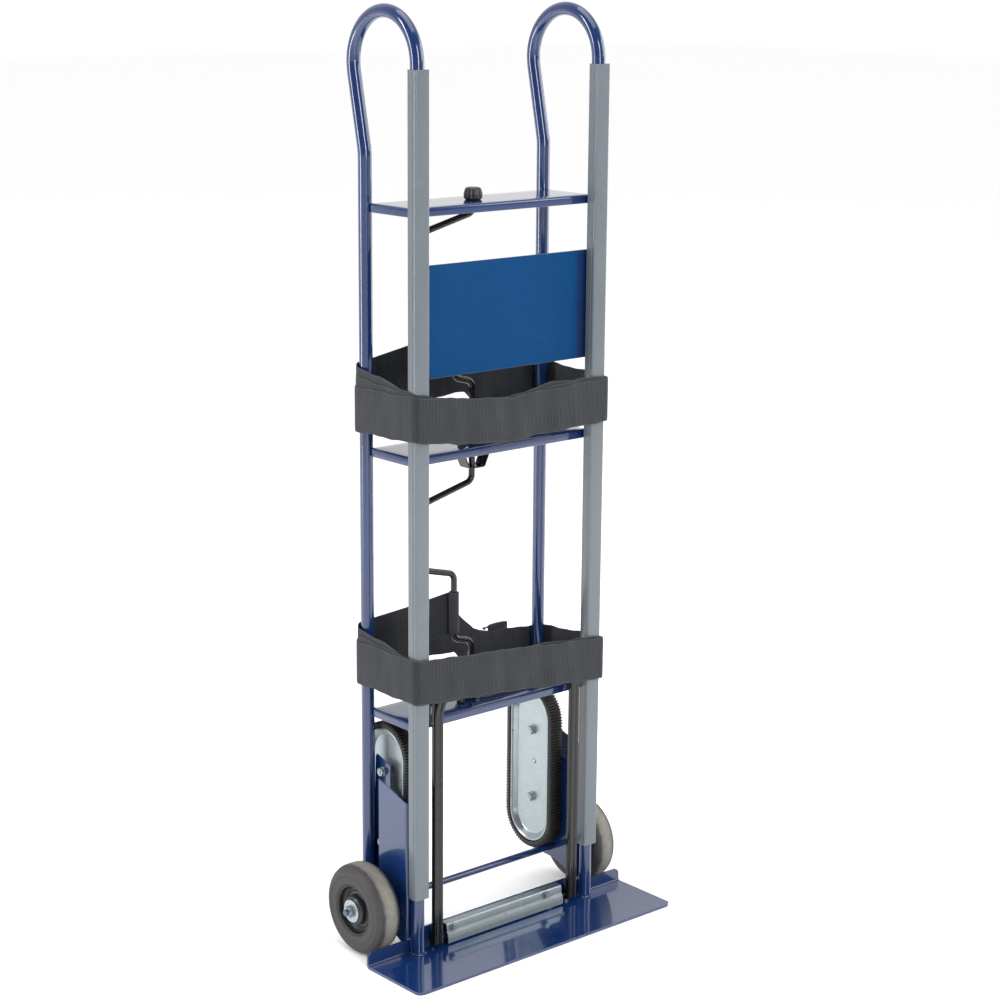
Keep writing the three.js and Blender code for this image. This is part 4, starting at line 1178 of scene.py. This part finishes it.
def build_weave_group():
    """Woven ribs across the strap. Height = rib * (0.65 + 0.35 * yarn), where rib and yarn are
    rectified sines of the flat place in metres. The thin border at each long edge stands a little
    higher and is a little lighter. Shade drifts with a broad noise along the strap."""
    tree, inside, outside = node_group(
        "webbing_weave",
        [("Flat", "NodeSocketVector", None), ("Ribs per Metre", "NodeSocketFloat", 345.0),
         ("Yarns per Metre", "NodeSocketFloat", 480.0), ("Width", "NodeSocketFloat", 0.072),
         ("Colour", "NodeSocketColor", (0.07, 0.07, 0.08, 1))],
        [("Colour", "NodeSocketColor"), ("Height", "NodeSocketFloat")],
    )
    place = add_node(tree, "ShaderNodeSeparateXYZ", {"Vector": inside.outputs["Flat"]})

    def ridge(axis, rate):
        turn = add_node(tree, "ShaderNodeMath", {0: place.outputs[axis], 1: rate}, operation="MULTIPLY")
        full = add_node(tree, "ShaderNodeMath", {0: turn.outputs[0], 1: math.pi}, operation="MULTIPLY")
        wave = add_node(tree, "ShaderNodeMath", {0: full.outputs[0]}, operation="SINE")
        return add_node(tree, "ShaderNodeMath", {0: wave.outputs[0]}, operation="ABSOLUTE").outputs[0]

    rib = ridge("X", inside.outputs["Ribs per Metre"])
    yarn = ridge("Y", inside.outputs["Yarns per Metre"])
    eased = add_node(tree, "ShaderNodeMath", {0: yarn, 1: 0.35, 2: 0.65}, operation="MULTIPLY_ADD")
    cell = add_node(tree, "ShaderNodeMath", {0: rib, 1: eased.outputs[0]}, operation="MULTIPLY")
    half = add_node(tree, "ShaderNodeMath", {0: inside.outputs["Width"], 1: 0.5}, operation="MULTIPLY")
    off_middle = add_node(tree, "ShaderNodeMath", {
        0: place.outputs["Y"], 1: half.outputs[0],
    }, operation="SUBTRACT")
    away = add_node(tree, "ShaderNodeMath", {0: off_middle.outputs[0]}, operation="ABSOLUTE")
    to_edge = add_node(tree, "ShaderNodeMath", {
        0: half.outputs[0], 1: away.outputs[0],
    }, operation="SUBTRACT")
    border = add_node(tree, "ShaderNodeMapRange", {
        "Value": to_edge.outputs[0], "From Min": 0.0012, "From Max": 0.0024, "To Min": 1.0, "To Max": 0.0,
    })
    height = add_node(tree, "ShaderNodeMath", {
        0: border.outputs["Result"], 1: 0.5, 2: cell.outputs[0],
    }, operation="MULTIPLY_ADD")
    drift = add_node(tree, "ShaderNodeTexNoise", {
        "Vector": inside.outputs["Flat"], "Scale": 14.0, "Detail": 6.0, "Roughness": 0.7,
    })
    streak_place = add_node(tree, "ShaderNodeVectorMath", {
        0: inside.outputs["Flat"], 1: (900.0, 30.0, 1.0),
    }, operation="MULTIPLY")
    streak = add_node(tree, "ShaderNodeTexNoise", {"Vector": streak_place.outputs["Vector"], "Scale": 1.0})
    tone = add_node(tree, "ShaderNodeMath", {0: cell.outputs[0], 1: 1.0, 2: -0.15}, operation="MULTIPLY_ADD")
    cloudy = add_node(tree, "ShaderNodeMath", {
        0: drift.outputs["Fac"], 1: 0.8, 2: tone.outputs[0],
    }, operation="MULTIPLY_ADD")
    streaky = add_node(tree, "ShaderNodeMath", {
        0: streak.outputs["Fac"], 1: 0.6, 2: cloudy.outputs[0],
    }, operation="MULTIPLY_ADD")
    edged = add_node(tree, "ShaderNodeMath", {
        0: border.outputs["Result"], 1: 0.45, 2: streaky.outputs[0],
    }, operation="MULTIPLY_ADD")
    shade = add_node(tree, "ShaderNodeVectorMath", {
        0: inside.outputs["Colour"], "Scale": edged.outputs[0],
    }, operation="SCALE")
    tree.links.new(shade.outputs["Vector"], outside.inputs["Colour"])
    tree.links.new(height.outputs[0], outside.inputs["Height"])
    return tree


weave_group = build_weave_group()


def build_webbing():
    """Charcoal webbing: the weave on the strap's own flat map, with a soft sheen of fibre."""
    material = bpy.data.materials.new("webbing")
    material.use_nodes = True
    tree = material.node_tree
    shader = tree.nodes["Principled BSDF"]
    flat = add_node(tree, "ShaderNodeUVMap", uv_map="flat").outputs["UV"]
    weave = add_node(tree, "ShaderNodeGroup", node_tree=weave_group)
    tree.links.new(flat, weave.inputs["Flat"])
    weave.inputs["Width"].default_value = web_width
    weave.inputs["Colour"].default_value = (0.0225, 0.0245, 0.0275, 1)
    bump = add_node(tree, "ShaderNodeBump", {"Height": weave.outputs["Height"], "Distance": 4.0e-4})
    tree.links.new(weave.outputs["Colour"], shader.inputs["Base Color"])
    tree.links.new(bump.outputs["Normal"], shader.inputs["Normal"])
    shader.inputs["Roughness"].default_value = 0.82
    shader.inputs["Specular IOR Level"].default_value = 0.15
    shader.inputs["Sheen Weight"].default_value = 0.12
    shader.inputs["Sheen Roughness"].default_value = 0.5
    return material


webbing = build_webbing()


def evenly(line, step):
    """The line resampled at an even spacing, with its length measured in plan."""
    line = np.asarray(line, float)
    length = np.concatenate([[0], np.cumsum(np.linalg.norm(np.diff(line[:, :2], axis=0), axis=1))])
    at = np.linspace(0, length[-1], max(2, int(round(length[-1] / step)) + 1))
    return np.column_stack([np.interp(at, length, column) for column in line.T]), at


def ripple(line, level):
    """How far the webbing stands off its straight line, outwards. It is a sum of three slow sines
    of the place along each side and of the height, and fades to nothing at the legs."""
    front_or_back = np.abs(line[:, 0]) < 0.186
    along = np.where(front_or_back, line[:, 0], line[:, 1] - 0.058)[:, None]
    free = np.where(front_or_back, 0.165 - np.abs(line[:, 0]), 0.050 - np.abs(line[:, 1] - 0.058))
    fade = np.clip(free / 0.04, 0, 1)[:, None]
    fade = fade * fade * (3 - 2 * fade)
    waves = (0.50 * np.sin(37 * along + 9 * level + 0.6) + 0.32 * np.sin(83 * along - 21 * level + 1.9)
             + 0.18 * np.sin(151 * along + 40 * level))
    return 0.0021 * fade * waves


def web_strip(line, at, drop=web_width, thickness=web_thickness, wavy=True):
    """Webbing hung from its top edge line (x, y, z). Across the strip a point is drop * share below
    the edge, and each face is half the thickness from the middle, thinning at both long edges."""
    share = np.linspace(0, 1, 15)
    heading = np.gradient(line[:, :2], axis=0)
    heading = heading / np.linalg.norm(heading, axis=1, keepdims=True)
    outward = np.column_stack([-heading[:, 1], heading[:, 0]])
    sway = 0.0009 * np.sin(71 * at + 1.3) + 0.0005 * np.sin(173 * at) if wavy else 0.0 * at
    level = line[:, 2:] + sway[:, None] - drop * share
    stand = ripple(line, level - line[:, 2:].mean()) if wavy else np.zeros_like(level)
    half = thickness / 2 * (1 - 0.55 * np.abs(2 * share - 1) ** 14)
    faces = []
    for sign, order in ((-1, slice(None)), (1, slice(None, None, -1))):
        reach = (stand + sign * half)[:, order]
        plan = line[:, None, :2] + reach[..., None] * outward[:, None]
        faces.append(np.concatenate([plan, level[:, order, None]], axis=-1))
    points = np.concatenate(faces, axis=1)
    across_place = np.concatenate([share, share[::-1]]) * drop
    uv = np.stack(np.broadcast_arrays(at[:, None], across_place[None]), axis=-1).reshape(-1, 2)
    places, mesh_faces = grid(points, wrap=True)
    return places, mesh_faces, uv


def turn_corners(turn, tops):
    """Corners of one turn round the frame: down the left side, along the front, up the right side
    and along the back. Each corner is a little further out than the one before it."""
    out = [(turn + quarter / 4) * layer_pitch for quarter in range(5)]
    corner = {"left front": 1, "right front": 2, "right back": 3, "left back": 4}
    places = []
    radii = []
    for spot, height in tops:
        if spot in corner:
            step = out[corner[spot]]
            x = (loop_x + step) * (-1 if "left" in spot else 1)
            y = loop_front - step if "front" in spot else loop_back + step
            places.append((x, y, height))
            radii.append(0.005 + step if "front" in spot else 0.015 + step)
        else:
            front, share = spot
            start, end = (out[1], out[2]) if front == "front" else (out[3], out[4])
            x_share = (share + loop_x) / (2 * loop_x)
            step = start + (end - start) * (x_share if front == "front" else 1 - x_share)
            y = loop_front - step if front == "front" else loop_back + step
            places.append((share, y, height))
            radii.append(0.012 if front == "back" else 0.08)
    return places, radii


strap_tops = {
    "lower": [
        [("left front", 0.509), (("front", -0.100), 0.500), (("front", -0.020), 0.494),
         (("front", 0.095), 0.488), ("right front", 0.477), ("right back", 0.462), (("back", 0.090), 0.470),
         (("back", 0.050), 0.482), (("back", 0.010), 0.520),
         (("back", -0.045), 0.527), ("left back", 0.521)],
        [("left front", 0.511), (("front", -0.100), 0.502), (("front", -0.020), 0.496),
         (("front", 0.100), 0.482), ("right front", 0.475), ("right back", 0.459), (("back", 0.090), 0.466),
         (("back", 0.050), 0.477), (("back", 0.010), 0.519),
         (("back", -0.045), 0.524), ("left back", 0.512)],
        [("left front", 0.512), (("front", -0.100), 0.503), (("front", -0.020), 0.497),
         (("front", 0.100), 0.485), ("right front", 0.475), ("right back", 0.458), (("back", 0.112), 0.466)],
    ],
    "upper": [
        [("left front", 0.939), (("front", -0.110), 0.923), (("front", -0.015), 0.914),
         (("front", 0.085), 0.929), ("right front", 0.924), ("right back", 0.930), (("back", 0.110), 0.925),
         (("back", 0.066), 0.930), (("back", 0.030), 0.968),
         (("back", -0.040), 0.966), ("left back", 0.949)],
        [("left front", 0.937), (("front", -0.110), 0.922), (("front", -0.015), 0.913),
         (("front", 0.090), 0.923), ("right front", 0.923), ("right back", 0.926), (("back", 0.110), 0.922),
         (("back", 0.066), 0.927), (("back", 0.030), 0.967),
         (("back", -0.040), 0.963), ("left back", 0.931)],
        [("left front", 0.936), (("front", -0.110), 0.924), (("front", -0.015), 0.9145),
         (("front", 0.085), 0.918), ("right front", 0.922), ("right back", 0.923), (("back", 0.112), 0.918)],
    ],
}
tail_top = {"lower": 0.5835, "upper": 1.0190}
behind_leg_top = {"lower": 0.5405, "upper": 0.9695}
side_start_top = {"lower": 0.534, "upper": 0.965}
wrap_x = crank_x + strap_offset
wrap_radius = 0.0080
coil_turns = 2.1
tail_start = np.array([wrap_x + 0.473 * (wrap_radius + 0.0008), crank_y + 0.881 * (wrap_radius + 0.0008)])
leg_touch = np.array([-0.1822, 0.1412])
bands = {}

for word in ("lower", "upper"):
    tail_line = rounded([
        (*tail_start, tail_top[word]),
        (-0.123, 0.1079, (tail_top[word] + behind_leg_top[word]) / 2 - 0.003),
        (*leg_touch, behind_leg_top[word]), (-0.1905, 0.1436, behind_leg_top[word] - 0.002),
    ], [0, 0.15, 0.012, 0], steps=12)
    line, at = evenly(tail_line, 0.0025)
    places, faces, uv = web_strip(line, at, wavy=False)
    tail = make_object(f"{word}_strap_tail", places, faces, webbing, uv=uv, sharp=60.0)
    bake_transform(tail)

    corners = [(-0.1835, 0.1418, behind_leg_top[word] - 0.001),
               (-loop_x, 0.1508, side_start_top[word] + 0.002)]
    radii = [0, 0.0135]
    for turn, tops in enumerate(strap_tops[word]):
        places, sizes = turn_corners(turn, tops)
        corners += places
        radii += sizes
    line, at = evenly(rounded(corners, radii, steps=14), 0.0026)
    places, faces, uv = web_strip(line, at)
    band = make_object(f"{word}_strap_band", places, faces, webbing, uv=uv, sharp=60.0)
    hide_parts(f"{word}_strap")
    bands[word] = (band, float(at[-1]))
    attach(band, "root")
    if word == "lower":
        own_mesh(band)

    angle = np.linspace(0, 2 * math.pi * coil_turns, 150) + math.atan2(0.881, 0.473) - 0.2 * math.pi
    radius = np.linspace(rod_radius + 0.0010, wrap_radius + 0.0002, len(angle))
    rim = tail_top[word] - 0.0012 * np.sin(angle * 0.5)
    spiral = np.column_stack([
        wrap_x + radius * np.cos(angle), crank_y + radius * np.sin(angle), rim])
    length = np.concatenate([[0], np.cumsum(np.linalg.norm(np.diff(spiral[:, :2], axis=0), axis=1))])
    places, faces, uv = web_strip(spiral, length, drop=0.070, thickness=0.0011, wavy=False)
    wrap = make_object(f"{word}_strap_coil", places, faces, webbing, uv=uv, sharp=60.0)
    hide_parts(f"{word}_strap_wrap")
    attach(wrap, f"{word}_crank")


# ---- Strap ends ----
# The loose end of each strap is folded back and sewn. A steel wire hook lies on the fold and holds
# it on the webbing at the back of the frame.
fold_low_x, fold_high_x = 0.090, 0.134
fold_half = 0.0017


def sewn_fold(top, back):
    """The folded end: a rounded slab of webbing, 3.4 mm thick and fuller in the middle."""
    share = np.linspace(0, 1, 17)
    x = fold_low_x + (fold_high_x - fold_low_x) * share
    rise = 0.002 * np.sin(math.pi * share) ** 0.5
    half = fold_half * (1 - 0.8 * np.abs(2 * share - 1) ** 8)
    height = np.linspace(0, 1, 13)
    level = top + rise[:, None] - web_width * height
    front = np.stack(np.broadcast_arrays(x[:, None], (back + fold_half - half)[:, None], level), axis=-1)
    behind = np.stack(np.broadcast_arrays(x[:, None], (back + fold_half + half)[:, None], level), axis=-1)
    points = np.concatenate([front, behind[:, ::-1]], axis=1)
    across = np.concatenate([height, height[::-1]]) * web_width
    uv = np.stack(np.broadcast_arrays(x[:, None], across[None]), axis=-1).reshape(-1, 2)
    places, faces = grid(points, wrap=True)
    return places, faces, uv


for word in ("lower", "upper"):
    low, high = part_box(f"{word}_strap_hook")
    back = loop_back + 3 * layer_pitch + 0.0012
    top = {"lower": 0.4775, "upper": 0.9200}[word]
    places, faces, uv = sewn_fold(top, back)
    fold = make_object(f"{word}_strap_fold", places, faces, webbing, uv=uv, sharp=60.0)
    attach(fold, "root")
    middle = (low[2] + high[2]) / 2 - 0.012
    hook_y = back + 0.0046
    hook_path = rounded([
        (fold_low_x - 0.010, hook_y - 0.0062, middle + 0.016), (fold_low_x - 0.010, hook_y, middle + 0.016),
        (fold_low_x + 0.012, hook_y, middle + 0.016), (fold_low_x + 0.012, hook_y, middle - 0.016),
        (fold_low_x - 0.010, hook_y, middle - 0.016), (fold_low_x - 0.010, hook_y - 0.0062, middle - 0.016),
    ], [0, 0.003, 0.006, 0.006, 0.003, 0], steps=7)
    hook = make_object(f"{word}_wire_hook", *bead(hook_path, 0.0016, 10.0, sides=16), dark_steel)
    finished(hook, "root", "zinc", f"{word}_strap_hook")
    if word == "lower":
        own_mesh(fold)
        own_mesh(hook)
    band, length = bands[word]


# ---- Fold-down frame ----
# A pressed steel channel bent to an upside-down U stands behind the front legs. It swings down to
# the front on a rod through the lugs at its feet, and then lies on the floor as a longer toe.
frame_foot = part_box("fold_frame")[0][2] + 0.0035
crossbar_z = 0.454
crossbar_bend = 0.050
leg_x = 0.149
leg_y = -0.006
leg_wide, leg_deep = 0.018, 0.009
hinge_low, hinge_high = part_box("frame_hinge_rod")
hinge_y, hinge_z = (hinge_low[1] + hinge_high[1]) / 2, (hinge_low[2] + hinge_high[2]) / 2


def leg_section():
    """Section of the frame's bar as (depth, width) from its middle: a shallow channel with its open
    side to the back and one rounded rib pressed down the middle of its front."""
    deep, wide, wall = leg_deep / 2, leg_wide / 2, 0.0016
    corners = [
        (deep, -wide), (-deep, -wide), (-deep, -wide * 0.30), (-deep + 0.0016, -wide * 0.16),
        (-deep + 0.0016, wide * 0.16), (-deep, wide * 0.30), (-deep, wide), (deep, wide),
        (deep, wide - wall), (-deep + wall + 0.0014, wide - wall), (-deep + wall + 0.0014, -wide + wall),
        (deep, -wide + wall),
    ]
    radii = [0.0003, 0.0022, 0.0008, 0.0008, 0.0008, 0.0008, 0.0022, 0.0003, 0.0003, 0.0008, 0.0008, 0.0003]
    return rounded(corners, radii, steps=4, closed=True)


frame_path = rounded([
    (-leg_x, leg_y, frame_foot), (-leg_x, leg_y, crossbar_z), (leg_x, leg_y, crossbar_z),
    (leg_x, leg_y, frame_foot),
], [0, crossbar_bend, crossbar_bend, 0], steps=16)
bar = grid(swept(frame_path, leg_section(), (0, 1, 0)), wrap=True)
lugs = []
for side in (-1, 1):
    x = side * leg_x
    outline = rounded([(-0.0055, hinge_z - 0.008), (hinge_y + 0.006, hinge_z - 0.008),
                       (hinge_y + 0.006, hinge_z + 0.008), (-0.0055, hinge_z + 0.014)],
                      [0.001, 0.005, 0.005, 0.001], steps=6, closed=True)
    for edge in (-1, 1):
        middle = x + edge * 0.0055
        lugs.append(prism(outline, 0, middle - 0.0014, middle + 0.0014))
fold_frame = make_object("folding_bar", *combined(bar, *lugs), black_gloss, sharp=40.0)
finished(fold_frame, "fold_down_frame", "black_paint", "fold_frame")

rod_half = hinge_high[0]
hinge_profile = [(0.0004, -rod_half), (0.0024, -rod_half), (0.003, -rod_half + 0.0006),
                 (0.003, rod_half - 0.0006), (0.0024, rod_half), (0.0004, rod_half)]
hinge = make_object("frame_pivot", *turned(hinge_profile, 0, (0, hinge_y, hinge_z), 28), dark_steel)
finished(hinge, "root", "zinc", "frame_hinge_rod")


# ---- Hinge channel ----
# Zinc-plated sheet folded over the hinge rod. Its front is stepped, with a rounded ridge half way
# up, and two bolts hold it to the toe plate's back edge.
channel_low, channel_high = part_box("hinge_channel")
channel_sheet = 0.0022
ridge_z = 0.0215
seat = -0.0050
bolt_radius = 0.0024
bolt_flats = 0.0100
channel_line = rounded([
    (channel_high[1], channel_high[2] - 0.0012), (-0.0030, channel_high[2] - 0.0012), (-0.0038, 0.0270),
    (-0.0066, ridge_z), (-0.0078, 0.0150), (-0.0075, channel_low[2]),
], [0, 0.0024, 0.0025, 0.003, 0.004, 0], steps=7)
channel = make_object(
    "hinge_cover", *bent_sheet(channel_line, channel_low[0], channel_high[0], channel_sheet, (1, 2)),
    zinc_plate, sharp=40.0,
)
finished(channel, "root", "zinc", "hinge_channel", bevel=0.0005, angle=50.0)

for word, side in sides:
    low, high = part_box(f"{word}_channel_bolt")
    centre = (np.array(low) + high) / 2
    section = rounded([
        (bolt_radius, seat), (0.0068, seat), (0.0068, seat - 0.0014), (bolt_radius, seat - 0.0014),
    ], 0.0004, steps=3, closed=True)
    washer = turned(section, 1, centre, 36, closed=True)
    head = nut(1, centre, bolt_flats, seat - 0.0013, seat - 0.0062, 0.0012)
    shank = turned([(0.0004, seat - 0.0058), (bolt_radius, seat - 0.0058), (bolt_radius, high[1] - 0.001),
                    (0.0016, high[1]), (0.0004, high[1])], 1, centre, 24)
    tail_nut = nut(1, centre, bolt_flats, high[1] - 0.0062, high[1] - 0.0020, bolt_radius)
    bolt = make_object(f"{word}_hinge_bolt", *combined(washer, head, shank, tail_nut), zinc_plate)
    finished(bolt, "root", "zinc", f"{word}_channel_bolt")


# ---- Frame latch ----
# A ring of bent wire hangs from a pin beside the top of the left leg and holds the frame upright.
latch_low, latch_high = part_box("frame_latch")
latch_x = (latch_low[0] + latch_high[0]) / 2 - 0.0012
wire_radius = 0.0015
ring_low, ring_high = latch_low[2] + wire_radius, latch_high[2] - wire_radius
ring_path = rounded([
    (latch_x, leg_y - 0.0030, ring_high), (latch_x, leg_y - 0.0045, ring_low),
    (latch_x, leg_y + 0.0045, ring_low), (latch_x, leg_y + 0.0030, ring_high),
], [0.0029, 0.0040, 0.0040, 0.0029], steps=10, closed=True)
ring = bead(ring_path, wire_radius, 10.0, closed=True, sides=14)
pin = turned([(0.0004, latch_low[0]), (0.0022, latch_low[0]), (0.0028, latch_low[0] + 0.0006),
              (0.0028, latch_low[0] + 0.0018), (0.0017, latch_low[0] + 0.0022), (0.0017, latch_high[0]),
              (0.0004, latch_high[0])], 0, (0, leg_y, ring_high - wire_radius - 0.0006), 28)
latch = make_object("latch_wire", *combined(ring, pin), dark_steel)
finished(latch, "latch_ring", "zinc", "frame_latch")


# ---- Studio ----
# A pale floor, soft boxes and a white surround, which are not part of the trolley. Reflections see
# a bright backdrop behind the trolley and a dimmer room in front of it.
studio = bpy.data.materials.new("studio_floor")
studio.use_nodes = True
studio_shader = studio.node_tree.nodes["Principled BSDF"]
studio_shader.inputs["Base Color"].default_value = (0.95, 0.95, 0.95, 1)
studio_shader.inputs["Roughness"].default_value = 0.9
studio_shader.inputs["Specular IOR Level"].default_value = 0.1
floor_size = 30.0
floor_corners = [(-floor_size, -floor_size), (floor_size, -floor_size), (floor_size, floor_size),
                 (-floor_size, floor_size)]
floor = make_object("studio_floor", [(x, y, 0) for x, y in floor_corners], [[0, 1, 2, 3]], studio)


def soft_light(name, place, size, power):
    """A rectangular soft box at a place, turned to face the middle of the trolley."""
    lamp = bpy.data.lights.new(name, "AREA")
    lamp.shape = "RECTANGLE"
    lamp.size, lamp.size_y = size
    lamp.energy = power
    light = bpy.data.objects.new(name, lamp)
    bpy.context.scene.collection.objects.link(light)
    light.location = place
    light.rotation_euler = (Vector((0, 0.05, 0.75)) - Vector(place)).to_track_quat("-Z", "Y").to_euler()


soft_light("left_box", (-3.4, 1.6, 1.7), (0.55, 3.4), 95)
soft_light("front_box", (-1.2, -4.4, 2.4), (0.7, 3.2), 95)
soft_light("right_box", (3.7, -0.8, 1.7), (1.2, 3.0), 48)
soft_light("high_box", (2.8, -2.6, 2.5), (1.2, 1.8), 30)
soft_light("top_box", (0.0, -0.3, 4.5), (3.0, 3.0), 60)
world = bpy.data.worlds.new("studio")
world.use_nodes = True
sky = world.node_tree
background = sky.nodes["Background"]
background.inputs["Color"].default_value = (1, 1, 1, 1)
backdrop_side = (0.6, 0.8, 0.0)
paths = add_node(sky, "ShaderNodeLightPath")
direction = add_node(sky, "ShaderNodeTexCoord").outputs["Generated"]
facing = add_node(sky, "ShaderNodeVectorMath", {0: direction, 1: backdrop_side}, operation="DOT_PRODUCT")
backdrop = add_node(sky, "ShaderNodeMapRange", {
    "Value": facing.outputs["Value"], "From Min": -0.35, "From Max": 0.55, "To Min": 0.14, "To Max": 0.88,
})
glow = add_node(sky, "ShaderNodeMapRange", {
    "Value": paths.outputs["Is Glossy Ray"], "To Min": 1.05, "To Max": backdrop.outputs["Result"],
})
sky.links.new(glow.outputs["Result"], background.inputs["Strength"])
bpy.context.scene.world = world
bpy.context.scene.view_settings.view_transform = "Standard"
